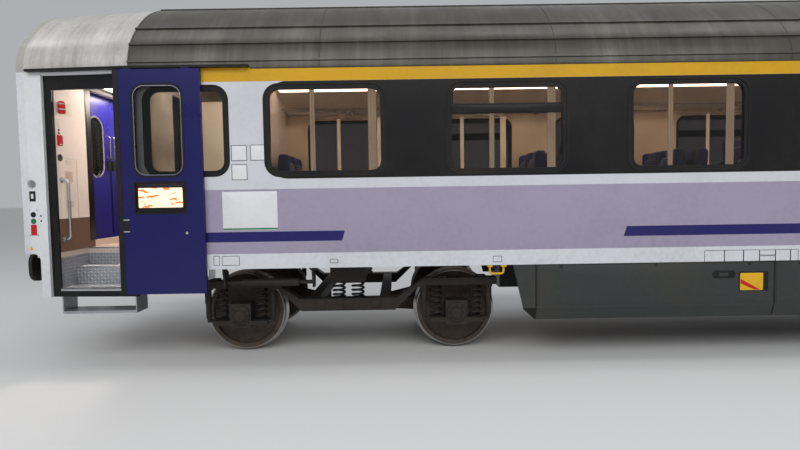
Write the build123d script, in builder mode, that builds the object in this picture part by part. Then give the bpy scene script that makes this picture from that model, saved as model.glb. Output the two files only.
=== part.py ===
"""Express passenger coach: body, doors, interior, running gear.

Millimetres. +X runs along the coach to the right as seen from the platform side,
-Y is the platform side (near side) and +Z is up. The origin is at the middle of the
coach, level with the lowest points of the wheel flanges.
"""
import os
from math import atan2, cos, degrees, radians, sin

from build123d import *

os.makedirs("parts", exist_ok=True)

# Running gear
wheel_diameter = 920
flange_depth = 28
flange_width = 32
wheel_width = 135
back_to_back = 1360
axle_diameter = 170
journal_diameter = 130
journal_centre = 1000
journal_length = 160
disc_diameter = 610
disc_width = 110
disc_centre = 330
wheelbase = 2500
bogie_setback = 3500

# Main body
body_length = 24200
body_width = 2883
buffer_reach = 150
wall = 80
floor_height = 1250
floor_thickness = 60
sole_bottom = 1050
eaves_height = 3200
roof_height = 4200
haunch_ratio = 0.6
dome_end_height = 4145
end_narrowing = 90
clearance = 5
seat_gap = 0.3

# Entrance zone, lengths from the end of the body
pillar_width = 270
frame_post = 85
door_opening = 800
door_top = 3020
sill_height = 850
step_rise = 200
tread_depth = 250
leaf_thickness = 40
leaf_height_low = 800
leaf_height_high = 3190
leaf_width = 920
leaf_slide = 814
leaf_stand_off = 18
leaf_recess = 2
lining_setback = 360
lining_thickness = 40
notch_length = 170
notch_top = 1240
notch_radius = 75
foot_bottom = 760
headstock_setback = 270

# Windows
end_zone = 2350
bays = 10
window_width = 1290
window_low = 2050
window_high = 3020
window_corner = 150
frame_band = 50
frame_depth = 50
pane_thickness = 24
end_window_setback = 1840
small_window = (890, 950, 2064)
toilet_window = (600, 600, 2300)

# Gangway
gangway_half = 600
gangway_height = 1900
gangway_leaf = 40
tube_radius = 75

# Interior
ceiling_height = 3400
corridor_length = 1100
aisle_near = -400
aisle_far = 250
partition_thickness = 40

# Underframe and equipment, heights above the rail
bearer_bottom = 1070
bolster_bottom = 1010
headstock_bottom = 880
case_bottom = 420
case_clear_of_bogie = 2085
boarding_height = 560
guide_rail_bottom = 3200
buffer_height = 1060
tail_lamp_height = 1750

# Heights above the rail become heights above the flange tips.
rail = flange_depth
axle_z = rail + wheel_diameter / 2
floor_z = rail + floor_height
floor_under_z = floor_z - floor_thickness
sole_z = rail + sole_bottom
eaves_z = rail + eaves_height
crown_z = rail + roof_height
dome_end_z = rail + dome_end_height
sill_z = rail + sill_height
ceiling_z = rail + ceiling_height

half_length = body_length / 2
bay_pitch = (body_length - 2 * end_zone) / bays
buffer_overall = body_length + 2 * buffer_reach
half_width = body_width / 2
inner_half = half_width - wall
entrance_length = pillar_width + 2 * frame_post + door_opening
straight_half = half_length - entrance_length
taper = end_narrowing / entrance_length
ends = (-1, 1)
sides = (-1, 1)
bogie_x = half_length - bogie_setback
names = {-1: "a", 1: "b"}


def side_y(x):
    """Half-width of the body at a distance x from its middle."""
    return half_width - max(0, abs(x) - straight_half) * taper


def save(shape, name):
    """Label a finished piece and write its file."""
    shape.label = name
    export_step(shape, f"parts/{name}.step")


def wall_plane(side, depth=0):
    """Plane of a side wall's outer face, or a plane that deep inside it."""
    return Plane.XZ.offset(-side * (half_width - depth))


def along(x0, x1, depth0, depth1):
    """Plan outline of a strip of the near wall, between two depths, tapered as the wall is."""
    return [
        (x0, -side_y(x0) + depth0),
        (x1, -side_y(x1) + depth0),
        (x1, -side_y(x1) + depth1),
        (x0, -side_y(x0) + depth1),
    ]


def roof_arcs(half, eaves, crown):
    """Haunch radius, crown radius and the angle from upright where the two arcs meet."""
    rise = crown - eaves
    haunch = haunch_ratio * rise
    radius = ((half - haunch) ** 2 + rise**2 - haunch**2) / (2 * (rise - haunch))
    return haunch, radius, degrees(atan2(half - haunch, radius - rise))


def roof_outline(half, eaves, crown, inset=0):
    """Closed roof section on a YZ plane: two haunch arcs, the crown arc and the eaves line."""
    haunch, radius, turn = roof_arcs(half, eaves, crown)
    centre = crown - radius
    big = radius - inset
    small = haunch - inset
    join = (big * sin(radians(turn)), centre + big * cos(radians(turn)))
    mid = radians((90 + turn) / 2)
    hub = half - haunch
    middle = (hub + small * sin(mid), eaves + small * cos(mid))
    with BuildLine() as line:
        ThreePointArc((half - inset, eaves), middle, join)
        ThreePointArc(join, (0, centre + big), (-join[0], join[1]))
        ThreePointArc((-join[0], join[1]), (-middle[0], middle[1]), (-half + inset, eaves))
        Line((-half + inset, eaves), (half - inset, eaves))
    return line.line


def cross_plane(x):
    """Plane across the coach at x, its own x along +Y and its own y up."""
    return Plane(origin=(x, 0, 0), x_dir=(0, 1, 0), z_dir=(1, 0, 0))


roof_haunch, crown_radius, roof_turn = roof_arcs(half_width, eaves_z, crown_z)
roof_hub_z = crown_z - crown_radius
bay_places = [(i - (bays - 1) / 2) * bay_pitch for i in range(bays)]
end_window_x = half_length - end_window_setback
window_mid_z = rail + (window_low + window_high) / 2
window_size = (window_width, window_high - window_low)
# Each window opening: x, width, height, height of its lower edge above the rail
near_windows = [(x, *window_size, window_low) for x in bay_places]
near_windows += [(end * end_window_x, *small_window) for end in ends]
far_windows = [(x, *window_size, window_low) for x in bay_places]
far_windows += [(end * end_window_x, *toilet_window) for end in ends]
wall_windows = {-1: near_windows, 1: far_windows}


def window_shapes(windows, shrink=0.0):
    """Rounded window outlines in a side wall's sketch, each smaller by shrink all round."""
    for x, width, height, low in windows:
        with Locations((x, rail + low + height / 2)):
            RectangleRounded(width - 2 * shrink, height - 2 * shrink, window_corner - shrink)


# Side walls, the whole wall thick, with every window cut
for side in sides:
    with BuildPart() as side_wall:
        with BuildSketch(wall_plane(side)):
            with Locations((0, (sole_z + eaves_z) / 2)):
                Rectangle(2 * straight_half, eaves_z - sole_z)
            for x, width, height, low in wall_windows[side]:
                with Locations((x, rail + low + height / 2)):
                    RectangleRounded(width, height, window_corner, mode=Mode.SUBTRACT)
        extrude(amount=side * wall)
    save(side_wall.part, "side_wall_near" if side < 0 else "side_wall_far")

# Window frames, rubber and metal rings seated in the wall openings
with BuildPart() as window_frames:
    for side in sides:
        with BuildSketch(wall_plane(side, 3)):
            for x, width, height, low in wall_windows[side]:
                with Locations((x, rail + low + height / 2)):
                    RectangleRounded(width, height, window_corner)
                    RectangleRounded(
                        width - 2 * frame_band,
                        height - 2 * frame_band,
                        window_corner - frame_band,
                        mode=Mode.SUBTRACT,
                    )
        extrude(amount=side * frame_depth)
save(window_frames.part, "window_frames")

with BuildPart() as window_panes:
    for side in sides:
        with BuildSketch(wall_plane(side, 8)):
            window_shapes(wall_windows[side], frame_band)
        extrude(amount=side * pane_thickness)
save(window_panes.part, "window_panes")

# Corner pillars beside the entrances, notched at the foot for the buffers
with BuildPart() as corner_pillars:
    pillar_x = half_length - pillar_width
    with BuildSketch(Plane.XY.offset(rail + foot_bottom)):
        with BuildLine():
            Polyline(*along(pillar_x, half_length - wall, 0, wall), close=True)
        make_face()
    extrude(amount=eaves_z - rail - foot_bottom)
    with BuildSketch(Plane.XZ):
        with Locations((half_length, rail + foot_bottom)):
            RectangleRounded(2 * notch_length, 2 * (notch_top - foot_bottom), notch_radius)
    extrude(amount=half_width, mode=Mode.SUBTRACT)
    mirror(about=Plane.YZ)
    mirror(about=Plane.XZ)
save(corner_pillars.part, "corner_pillars")

# Door frames, set back behind the leaves
frame_start = half_length - pillar_width
frame_end = straight_half
frame_back = leaf_recess + leaf_thickness + seat_gap
with BuildPart() as door_frames:
    with BuildSketch(Plane.XY.offset(rail + foot_bottom)):
        with BuildLine():
            Polyline(*along(frame_end, frame_start, frame_back, wall), close=True)
        make_face()
    extrude(amount=eaves_z - rail - foot_bottom)
    with BuildSketch(Plane.XZ):
        with Locations(((frame_start + frame_end) / 2, (sill_z + rail + door_top) / 2)):
            Rectangle(door_opening, rail + door_top - sill_z)
    extrude(amount=half_width, mode=Mode.SUBTRACT)
    mirror(about=Plane.YZ)
    mirror(about=Plane.XZ)
save(door_frames.part, "door_frames")

# Entrance door leaves: window, display opening and edge rubber
leaf_x0 = half_length - pillar_width - 20 - leaf_width
leaf_low_z = rail + leaf_height_low
leaf_tall = leaf_height_high - leaf_height_low
leaf_window = (500, 940, 2546)
leaf_display = (540, 320, 1835)


def cut_leaf(centre_x):
    """Window and display openings of a door leaf, as sketch outlines on the XZ plane."""
    with Locations((centre_x, rail + leaf_window[2])):
        RectangleRounded(leaf_window[0], leaf_window[1], 110)
    with Locations((centre_x, rail + leaf_display[2])):
        Rectangle(leaf_display[0], leaf_display[1])


with BuildPart() as closed_leaf:
    with BuildSketch(Plane.XY.offset(leaf_low_z)):
        with BuildLine():
            Polyline(
                *along(leaf_x0, leaf_x0 + leaf_width, leaf_recess, leaf_recess + leaf_thickness),
                close=True,
            )
        make_face()
    extrude(amount=leaf_tall)
    with BuildSketch(Plane.XZ):
        cut_leaf(leaf_x0 + leaf_width / 2)
    extrude(amount=half_width, mode=Mode.SUBTRACT)

with BuildPart() as entrance_doors_closed:
    add(closed_leaf.part)
    add(closed_leaf.part.mirror(Plane.XZ))
    add(closed_leaf.part.mirror(Plane.XZ).mirror(Plane.YZ))
save(entrance_doors_closed.part, "entrance_doors_closed")

open_x = -(leaf_x0 + leaf_width / 2) + leaf_slide
open_plane = Plane.XZ.offset(half_width + leaf_stand_off)
rail_low_z = rail + guide_rail_bottom
rail_tall = 25
rail_reach = 62
hanger_width = 90
hanger_low_z = leaf_low_z + leaf_tall - 20
hanger_tall = rail_low_z - seat_gap - hanger_low_z
with BuildPart() as entrance_door_open:
    with BuildSketch(open_plane):
        with Locations((open_x, leaf_low_z + leaf_tall / 2)):
            Rectangle(leaf_width, leaf_tall)
        for side in (-1, 1):
            with Locations((open_x + side * leaf_width / 3, hanger_low_z + hanger_tall / 2)):
                Rectangle(hanger_width, hanger_tall)
    extrude(amount=leaf_thickness)
    with BuildSketch(Plane.XZ):
        cut_leaf(open_x)
    extrude(amount=2 * half_width, mode=Mode.SUBTRACT)
save(entrance_door_open.part, "entrance_door_open")

# Glass and display panels of the four leaves
glass_depth = 12
panel_thickness = 24
with BuildPart() as leaf_glass:
    with BuildSketch(open_plane):
        with Locations((open_x, rail + leaf_window[2])):
            RectangleRounded(leaf_window[0], leaf_window[1], 110)
        with Locations((open_x, rail + leaf_display[2])):
            Rectangle(leaf_display[0], leaf_display[1])
    extrude(amount=panel_thickness)

with BuildPart() as closed_glass:
    with BuildSketch(Plane.XY.offset(leaf_low_z)):
        with BuildLine():
            Polyline(
                *along(leaf_x0, leaf_x0 + leaf_width, glass_depth, glass_depth + panel_thickness),
                close=True,
            )
        make_face()
    extrude(amount=leaf_tall)
    with BuildSketch(Plane.XZ):
        cut_leaf(leaf_x0 + leaf_width / 2)
    extrude(amount=half_width, mode=Mode.INTERSECT)

with BuildPart() as all_glass:
    add(leaf_glass.part)
    add(closed_glass.part)
    add(closed_glass.part.mirror(Plane.XZ))
    add(closed_glass.part.mirror(Plane.XZ).mirror(Plane.YZ))
save(all_glass.part, "leaf_glass")

# Guide rails above the entrances, along which the leaves run
guide_start = half_length - 130
guide_stop = guide_start - 2400
with BuildPart() as door_guide_rails:
    with BuildSketch(Plane.XY.offset(rail_low_z)):
        with BuildLine():
            Polyline(
                (guide_start, -side_y(guide_start) - seat_gap),
                (guide_start, -side_y(guide_start) - rail_reach),
                (straight_half, -half_width - rail_reach),
                (guide_stop, -half_width - rail_reach),
                (guide_stop, -half_width - seat_gap),
                (straight_half, -half_width - seat_gap),
                close=True,
            )
        make_face()
    extrude(amount=rail_tall)
    mirror(about=Plane.YZ)
    mirror(about=Plane.XZ)
save(door_guide_rails.part, "door_guide_rails")

# Roof: crown and haunches with pressed beads, lofted domes
bead_width = 26
bead_height = 16
# Shares of the crown's half angle, and of the haunch's angle from the crown to the eaves
crown_bead_shares = (-0.9, -0.36, 0.36, 0.9)
haunch_bead_shares = (0.3, 0.8)
crown_beads = [share * roof_turn for share in crown_bead_shares]
haunch_beads = [roof_turn + share * (90 - roof_turn) for share in haunch_bead_shares]
roof_shell = 70
with BuildPart() as roof_crown:
    with BuildSketch(cross_plane(-straight_half)):
        with BuildLine():
            big = crown_radius
            small = crown_radius - roof_shell
            turn = radians(roof_turn)
            high = (big * sin(turn), roof_hub_z + big * cos(turn))
            low = (small * sin(turn), roof_hub_z + small * cos(turn))
            ThreePointArc(high, (0, roof_hub_z + big), (-high[0], high[1]))
            Line((-high[0], high[1]), (-low[0], low[1]))
            ThreePointArc((-low[0], low[1]), (0, roof_hub_z + small), low)
            Line(low, high)
        make_face()
        for angle in crown_beads:
            place = crown_radius - bead_height
            with Locations(
                Location(
                    (place * sin(radians(angle)), roof_hub_z + place * cos(radians(angle))),
                    -angle,
                )
            ):
                Rectangle(bead_width, 4 * bead_height)
    extrude(amount=2 * straight_half)
save(roof_crown.part, "roof_crown")

with BuildPart() as roof_haunches:
    with BuildSketch(cross_plane(-straight_half)):
        with BuildLine():
            hub_y = half_width - roof_haunch
            big = roof_haunch
            small = roof_haunch - roof_shell
            turn = radians(roof_turn)
            mid = radians((90 + roof_turn) / 2)
            high = (hub_y + big * sin(turn), eaves_z + big * cos(turn))
            low = (hub_y + small * sin(turn), eaves_z + small * cos(turn))
            ThreePointArc(high, (hub_y + big * sin(mid), eaves_z + big * cos(mid)), (half_width, eaves_z))
            Line((half_width, eaves_z), (half_width - roof_shell, eaves_z))
            ThreePointArc(
                (half_width - roof_shell, eaves_z),
                (hub_y + small * sin(mid), eaves_z + small * cos(mid)),
                low,
            )
            Line(low, high)
        make_face()
        for angle in haunch_beads:
            place = roof_haunch - bead_height
            with Locations(
                Location(
                    (hub_y + place * sin(radians(angle)), eaves_z + place * cos(radians(angle))),
                    -angle,
                )
            ):
                Rectangle(bead_width, 4 * bead_height)
    extrude(amount=2 * straight_half)
    mirror(about=Plane.XZ)
save(roof_haunches.part, "roof_haunches")

end_half = side_y(half_length - wall)
with BuildPart() as roof_domes:
    for inset, how in ((0, Mode.ADD), (roof_shell, Mode.SUBTRACT)):
        with BuildSketch(cross_plane(straight_half)) as root_section:
            add(roof_outline(half_width, eaves_z, crown_z, inset))
            make_face()
        with BuildSketch(cross_plane(half_length - wall)) as end_section:
            add(roof_outline(end_half, eaves_z, dome_end_z, inset))
            make_face()
        loft(sections=[root_section.sketch, end_section.sketch], ruled=True, mode=how)
    mirror(about=Plane.YZ)
save(roof_domes.part, "roof_domes")

# End walls with the gangway opening
with BuildPart() as end_walls:
    with BuildSketch(cross_plane(half_length - wall)):
        add(roof_outline(end_half, eaves_z, dome_end_z))
        make_face()
        with Locations((0, (rail + notch_top + eaves_z) / 2)):
            Rectangle(2 * end_half, eaves_z - rail - notch_top)
        with Locations((0, rail + (notch_top + floor_height + gangway_height) / 2)):
            Rectangle(
                2 * gangway_half + 100,
                floor_height + gangway_height - notch_top,
                mode=Mode.SUBTRACT,
            )
    extrude(amount=wall)
    mirror(about=Plane.YZ)
save(end_walls.part, "end_walls")

# Linings across the coach ends, with the header that carries the gangway doors
lining_x = half_length - lining_setback
lining_half = side_y(lining_x) - wall - 4
header_half = side_y(half_length) - wall - 4
lining_shoulder = 60
leaf_top_z = floor_z + gangway_height + 20
threshold = 82
with BuildPart() as vestibule_linings:
    with BuildSketch(cross_plane(lining_x)):
        with BuildLine():
            Polyline(
                (-lining_half, floor_z),
                (lining_half, floor_z),
                (lining_half, eaves_z),
                (lining_half - lining_shoulder, ceiling_z),
                (-lining_half + lining_shoulder, ceiling_z),
                (-lining_half, eaves_z),
                close=True,
            )
        make_face()
        with Locations((0, floor_z + (threshold + gangway_height) / 2)):
            Rectangle(2 * gangway_half, gangway_height - threshold, mode=Mode.SUBTRACT)
    extrude(amount=lining_thickness)
    with BuildSketch(cross_plane(lining_x + lining_thickness)):
        with Locations((0, leaf_top_z + 30)):
            Rectangle(2 * header_half, 60)
    extrude(amount=lining_setback - lining_thickness - wall)
    mirror(about=Plane.YZ)
save(vestibule_linings.part, "vestibule_linings")

# Gangway door leaves, each with a tall rounded window
leaf_plane_x = half_length - 220
stadium = (310, 750, 1245)
for end in ends:
    for side in sides:
        with BuildPart() as gangway_door:
            with BuildSketch(cross_plane(end * leaf_plane_x)):
                with Locations((side * (gangway_half + 20) / 2, floor_z + 5 + (gangway_height + 15) / 2)):
                    Rectangle(gangway_half + 16, gangway_height + 15 - seat_gap * 2)
                with Locations((side * 320, floor_z + stadium[2])):
                    SlotCenterToCenter(
                        stadium[1] - stadium[0], stadium[0], rotation=90, mode=Mode.SUBTRACT
                    )
            extrude(amount=-end * gangway_leaf)
        save(gangway_door.part, f"gangway_door_{names[end]}_{'near' if side < 0 else 'far'}")

# Rubber gangway tubes at the ends, an upside-down U with a rolled section
tube_x = half_length + tube_radius
tube_leg = gangway_half + 50 + 130
tube_top_z = floor_z + gangway_height + 230
tube_bend = 260
tube_low_z = floor_z - 5
with BuildPart() as gangway_tubes:
    with BuildLine(cross_plane(tube_x)) as tube_path:
        Polyline(
            (tube_leg, tube_low_z),
            (tube_leg, tube_top_z - tube_bend),
        )
        JernArc((tube_leg, tube_top_z - tube_bend), (0, 1), tube_bend, 90)
        Line((tube_leg - tube_bend, tube_top_z), (-tube_leg + tube_bend, tube_top_z))
        JernArc((-tube_leg + tube_bend, tube_top_z), (-1, 0), tube_bend, 90)
        Line((-tube_leg, tube_top_z - tube_bend), (-tube_leg, tube_low_z))
    with BuildSketch(Plane(origin=(tube_x, tube_leg, tube_low_z), x_dir=(1, 0, 0), z_dir=(0, 0, 1))):
        Rectangle(2 * tube_radius, 180)
    sweep(path=tube_path.line)
    mirror(about=Plane.YZ)
save(gangway_tubes.part, "gangway_tubes")

# Footplates of the gangways, folded up in front of the doors
footplate_x = half_length + 40
footplate_z = floor_z - 40
footplate = (1080, 480, 16)
hinge_radius = 14
lug_thickness = 25
lug_reach = 24
for end in ends:
    with BuildPart() as footplate_part:
        with BuildSketch(cross_plane(end * (footplate_x - footplate[2] / 2))):
            with Locations((0, footplate_z + footplate[1] / 2)):
                Rectangle(footplate[0], footplate[1])
        extrude(amount=footplate[2] if end > 0 else -footplate[2])
        with BuildSketch(Plane.XZ.offset(-footplate[0] / 2 - lug_thickness - clearance)):
            with Locations((end * footplate_x, footplate_z)):
                Circle(hinge_radius)
        extrude(amount=footplate[0] + 2 * (lug_thickness + clearance))
    save(footplate_part.part, f"footplate_{names[end]}")

# Floors: saloon, corridor ends and vestibules with their step wells
well_depth = 2 * tread_depth
well_half = side_y(half_length) - wall - well_depth
opening_x0 = straight_half + frame_post
opening_x1 = opening_x0 + door_opening
with BuildPart() as floors:
    with BuildSketch(Plane.XY.offset(floor_under_z)):
        Rectangle(2 * straight_half, 2 * inner_half)
        Rectangle(2 * (half_length - wall), 2 * well_half)
        for end in ends:
            for side in sides:
                with BuildLine():
                    Polyline(
                        (end * straight_half, side * (inner_half - well_depth)),
                        (end * straight_half, side * inner_half),
                        (end * opening_x0, side * (side_y(opening_x0) - wall)),
                        (end * opening_x0, side * (inner_half - well_depth)),
                        close=True,
                    )
                make_face()
                with BuildLine():
                    Polyline(
                        (end * opening_x1, side * (well_half - 10)),
                        (end * opening_x1, side * (side_y(opening_x1) - wall)),
                        (end * (half_length - wall), side * (side_y(half_length - wall) - wall)),
                        (end * (half_length - wall), side * (well_half - 10)),
                        close=True,
                    )
                make_face()
        Rectangle(2 * half_length, 2 * gangway_half)
    extrude(amount=floor_thickness)
    for side in sides:
        lug_y = side * (footplate[0] / 2 + clearance + lug_thickness / 2)
        for end in ends:
            with BuildSketch(Plane.XZ.offset(-lug_y - lug_thickness / 2)):
                with Locations((end * (half_length + footplate_x + lug_reach) / 2, footplate_z)):
                    Rectangle(footplate_x + lug_reach - half_length, 2 * lug_reach)
                with Locations((end * footplate_x, footplate_z)):
                    Circle(hinge_radius + seat_gap, mode=Mode.SUBTRACT)
            extrude(amount=lug_thickness)
save(floors.part, "floors")

# Entrance steps: a folded stair with side cheeks in each well, and a hung boarding step
plate = 30
cheek = 12
step_top_y = -well_half
step_mid_z = floor_z - step_rise
boarding_z = rail + boarding_height
boarding_depth = 260
with BuildPart() as entrance_steps:
    stair_outer = -(side_y(opening_x1 + cheek) - wall)
    nosing_y = step_top_y - tread_depth
    with BuildSketch(cross_plane(opening_x0 - cheek)):
        with BuildLine():
            Polyline(
                (step_top_y, floor_under_z),
                (step_top_y, step_mid_z),
                (nosing_y, step_mid_z),
                (nosing_y, sill_z),
                (stair_outer, sill_z),
                (stair_outer, sill_z - plate),
                (nosing_y + plate, sill_z - plate),
                (nosing_y + plate, step_mid_z - plate),
                (step_top_y + plate, step_mid_z - plate),
                (step_top_y + plate, floor_under_z),
                close=True,
            )
        make_face()
    extrude(amount=door_opening + 2 * cheek)
    for cheek_x in (opening_x0 - cheek, opening_x1):
        with BuildSketch(cross_plane(cheek_x)):
            with BuildLine():
                Polyline(
                    (step_top_y + plate, floor_under_z),
                    (step_top_y + plate, step_mid_z - plate),
                    (nosing_y + plate, sill_z - plate),
                    (stair_outer, sill_z - plate),
                    (stair_outer, floor_under_z),
                    close=True,
                )
            make_face()
        extrude(amount=cheek)
        with BuildSketch(cross_plane(cheek_x)):
            with Locations((stair_outer + boarding_depth / 2, (boarding_z + sill_z) / 2)):
                Rectangle(boarding_depth, sill_z - boarding_z)
        extrude(amount=cheek)
    with BuildSketch(Plane.XY.offset(boarding_z)):
        with Locations(((opening_x0 + opening_x1) / 2, stair_outer + boarding_depth / 2)):
            Rectangle(door_opening + 2 * cheek, boarding_depth)
    extrude(amount=plate)
    mirror(about=Plane.YZ)
    mirror(about=Plane.XZ)
save(entrance_steps.part, "entrance_steps")

# Underframe: sole bars, cross bearers, body bolsters with centre pins, end sills, headstocks
sole_bar = 60
bearer_width = 70
bearer_low_z = rail + bearer_bottom
bolster_low_z = rail + bolster_bottom
bolster_length = 420
bolster_half = 1150
pin_radius = 80
pin_depth = 160
pin_bore = pin_radius + clearance
headstock_x = half_length - headstock_setback
headstock_depth = 60
headstock_low_z = rail + headstock_bottom
sill_y0 = 180
sill_width = 100
with BuildPart() as underframe:
    with BuildSketch(Plane.XY.offset(sole_z)):
        for side in sides:
            with Locations((0, side * (inner_half - sole_bar / 2))):
                Rectangle(2 * straight_half, sole_bar)
    extrude(amount=floor_under_z - sole_z)
    with BuildSketch(Plane.XY.offset(bearer_low_z)):
        for x in bay_places:
            with Locations((x - bay_pitch / 2, 0)):
                Rectangle(bearer_width, 2 * (inner_half - sole_bar))
        with Locations((bay_places[-1] + bay_pitch / 2, 0)):
            Rectangle(bearer_width, 2 * (inner_half - sole_bar))
    extrude(amount=floor_under_z - bearer_low_z)
    with BuildSketch(Plane.XY.offset(bolster_low_z)):
        for end in ends:
            with Locations((end * bogie_x, 0)):
                Rectangle(bolster_length, 2 * bolster_half)
            for side in sides:
                with Locations(
                    (end * (bogie_x + headstock_x) / 2, side * (sill_y0 + sill_width / 2))
                ):
                    Rectangle(headstock_x - bogie_x, sill_width)
    extrude(amount=floor_under_z - bolster_low_z)
    with BuildSketch(Plane.XY.offset(bolster_low_z)):
        for end in ends:
            with Locations((end * bogie_x, 0)):
                Circle(pin_radius)
    extrude(amount=-pin_depth)
    with BuildSketch(Plane.XY.offset(headstock_low_z)):
        for end in ends:
            with Locations((end * (headstock_x - headstock_depth / 2), 0)):
                Rectangle(headstock_depth, 2 * bolster_half)
    extrude(amount=floor_under_z - headstock_low_z)
save(underframe.part, "underframe")

# Buffers and draw gear on the headstocks
buffer_y = 875
buffer_z = rail + buffer_height
buffer_case = 100
plunger = 72
buffer_head = (450, 340)
head_thickness = 40
case_length = 330
with BuildPart() as buffers:
    with BuildSketch(cross_plane(headstock_x)):
        with Locations((buffer_y, buffer_z)):
            Circle(buffer_case)
    extrude(amount=case_length)
    with BuildSketch(cross_plane(headstock_x)):
        with Locations((buffer_y, buffer_z)):
            Rectangle(300, 250)
    extrude(amount=25)
    with BuildSketch(cross_plane(headstock_x)):
        with Locations((buffer_y, buffer_z)):
            Circle(plunger)
    extrude(amount=buffer_overall / 2 - headstock_x - head_thickness)
    with BuildSketch(cross_plane(buffer_overall / 2 - head_thickness)):
        with Locations((buffer_y, buffer_z)):
            RectangleRounded(buffer_head[0], buffer_head[1], 120)
    extrude(amount=head_thickness)
    mirror(about=Plane.YZ)
    mirror(about=Plane.XZ)
save(buffers.part, "buffers")

hook_thickness = 50
with BuildPart() as draw_gear:
    with BuildSketch(Plane.XZ.offset(-hook_thickness / 2)):
        with BuildLine():
            Polyline(
                (headstock_x + 30, buffer_z - 35),
                (headstock_x + 250, buffer_z - 45),
                (headstock_x + 330, buffer_z - 70),
                (headstock_x + 400, buffer_z - 40),
                (headstock_x + 420, buffer_z + 40),
                (headstock_x + 390, buffer_z + 95),
                (headstock_x + 360, buffer_z + 90),
                (headstock_x + 365, buffer_z + 30),
                (headstock_x + 330, buffer_z + 10),
                (headstock_x + 280, buffer_z + 30),
                (headstock_x + 30, buffer_z + 35),
                close=True,
            )
        make_face()
    extrude(amount=hook_thickness)
    with BuildSketch(cross_plane(headstock_x)):
        with Locations((0, buffer_z)):
            Rectangle(340, 240)
    extrude(amount=30)
    mirror(about=Plane.YZ)
save(draw_gear.part, "draw_gear")

# Equipment cases between the bogies, hung from the sole bars
case_span = 2 * (bogie_x - case_clear_of_bogie)
cases_per_side = 5
case_pitch = case_span / cases_per_side
case_gap = 12
case_depth = 700
case_low_z = rail + case_bottom
case_outer = half_width - 10
with BuildPart() as equipment_cases:
    for i in range(cases_per_side):
        case_x = -case_span / 2 + i * case_pitch + case_gap / 2
        with BuildSketch(cross_plane(case_x)):
            with BuildLine():
                Polyline(
                    (case_outer - case_depth, sole_z),
                    (case_outer, sole_z),
                    (case_outer, case_low_z + 150),
                    (case_outer - 45, case_low_z + 30),
                    (case_outer - 110, case_low_z),
                    (case_outer - case_depth + 60, case_low_z),
                    (case_outer - case_depth, case_low_z + 60),
                    close=True,
                )
            make_face()
        extrude(amount=case_pitch - case_gap)
    mirror(about=Plane.XZ)
save(equipment_cases.part, "equipment_cases")

fairing_thickness = 40
with BuildPart() as skirt_fairings:
    with BuildSketch(Plane.XZ.offset(case_outer - fairing_thickness)):
        with BuildLine():
            Polyline(
                (case_span / 2, sole_z),
                (case_span / 2 + 250, sole_z),
                (case_span / 2 + 135, case_low_z + 150),
                (case_span / 2, case_low_z + 150),
                close=True,
            )
        make_face()
    extrude(amount=fairing_thickness)
    mirror(about=Plane.YZ)
    mirror(about=Plane.XZ)
save(skirt_fairings.part, "skirt_fairings")

# Air tanks under the middle of the coach, in straps below the cross bearers
tank_radius = 210
tank_length = bay_pitch + 250
tank_z = bearer_low_z - tank_radius - 30
tank_places = (-1.5 * bay_pitch, 1.5 * bay_pitch)
with BuildPart() as air_tanks:
    for x in tank_places:
        with BuildSketch(cross_plane(x - tank_length / 2)):
            with Locations((0, tank_z)):
                Circle(tank_radius)
        extrude(amount=tank_length)
    fillet(air_tanks.edges().filter_by(GeomType.CIRCLE), 90)
    for x in tank_places:
        for strap_x in (x - bay_pitch / 2, x + bay_pitch / 2):
            with BuildSketch(cross_plane(strap_x - 25)):
                with Locations((0, (tank_z + bearer_low_z) / 2)):
                    Rectangle(160, bearer_low_z - tank_z)
            extrude(amount=50)
save(air_tanks.part, "air_tanks")

# Yellow lifting handles below the sole bars
handle_bar = 12
handle_span = 150
handle_drop = 110
handle_x = bogie_x - 1660
handle_y = half_width - wall / 2
with BuildPart() as lifting_handles:
    handle_low = sole_z - handle_drop
    with BuildLine(Plane.XZ.offset(handle_y)) as handle_path:
        FilletPolyline(
            (handle_x - handle_span / 2, sole_z),
            (handle_x - handle_span / 2, handle_low),
            (handle_x + handle_span / 2, handle_low),
            (handle_x + handle_span / 2, sole_z),
            radius=35,
        )
    with BuildSketch(Plane(origin=(handle_x - handle_span / 2, -handle_y, sole_z), z_dir=(0, 0, -1))):
        Rectangle(2 * handle_bar, 2 * handle_bar)
    sweep(path=handle_path.line)
    mirror(about=Plane.YZ)
    mirror(about=Plane.XZ)
save(lifting_handles.part, "lifting_handles")

# Yaw dampers beside the bogies, in brackets hung from the sole bars
damper_y = 1250
damper_z = rail + 870
damper_near = bogie_x + 350
damper_length = 1000
bracket = 20
bracket_inner = 1195
# Distance along the damper, radius
damper_profile = ((0, 0), (0, 22), (180, 22), (180, 46), (760, 46), (760, 40), (820, 40), (820, 26), (1000, 26), (1000, 0))
with BuildPart() as yaw_dampers:
    with BuildSketch(Plane.XZ.offset(damper_y)):
        with BuildLine():
            Polyline(*((damper_near + along_x, damper_z + r) for along_x, r in damper_profile), close=True)
        make_face()
    revolve(axis=Axis((0, -damper_y, damper_z), (1, 0, 0)))
    for bracket_x in (damper_near, damper_near + damper_length - bracket):
        with BuildSketch(cross_plane(bracket_x)):
            with BuildLine():
                Polyline(
                    (-bracket_inner, damper_z - 55),
                    (-bracket_inner, sole_z - 60),
                    (-inner_half + sole_bar, sole_z),
                    (-inner_half, sole_z),
                    (-inner_half, sole_z - 60),
                    (-damper_y - 55, damper_z - 55),
                    close=True,
                )
            make_face()
        extrude(amount=bracket)
    mirror(about=Plane.YZ)
    mirror(about=Plane.XZ)
save(yaw_dampers.part, "yaw_dampers")

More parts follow.
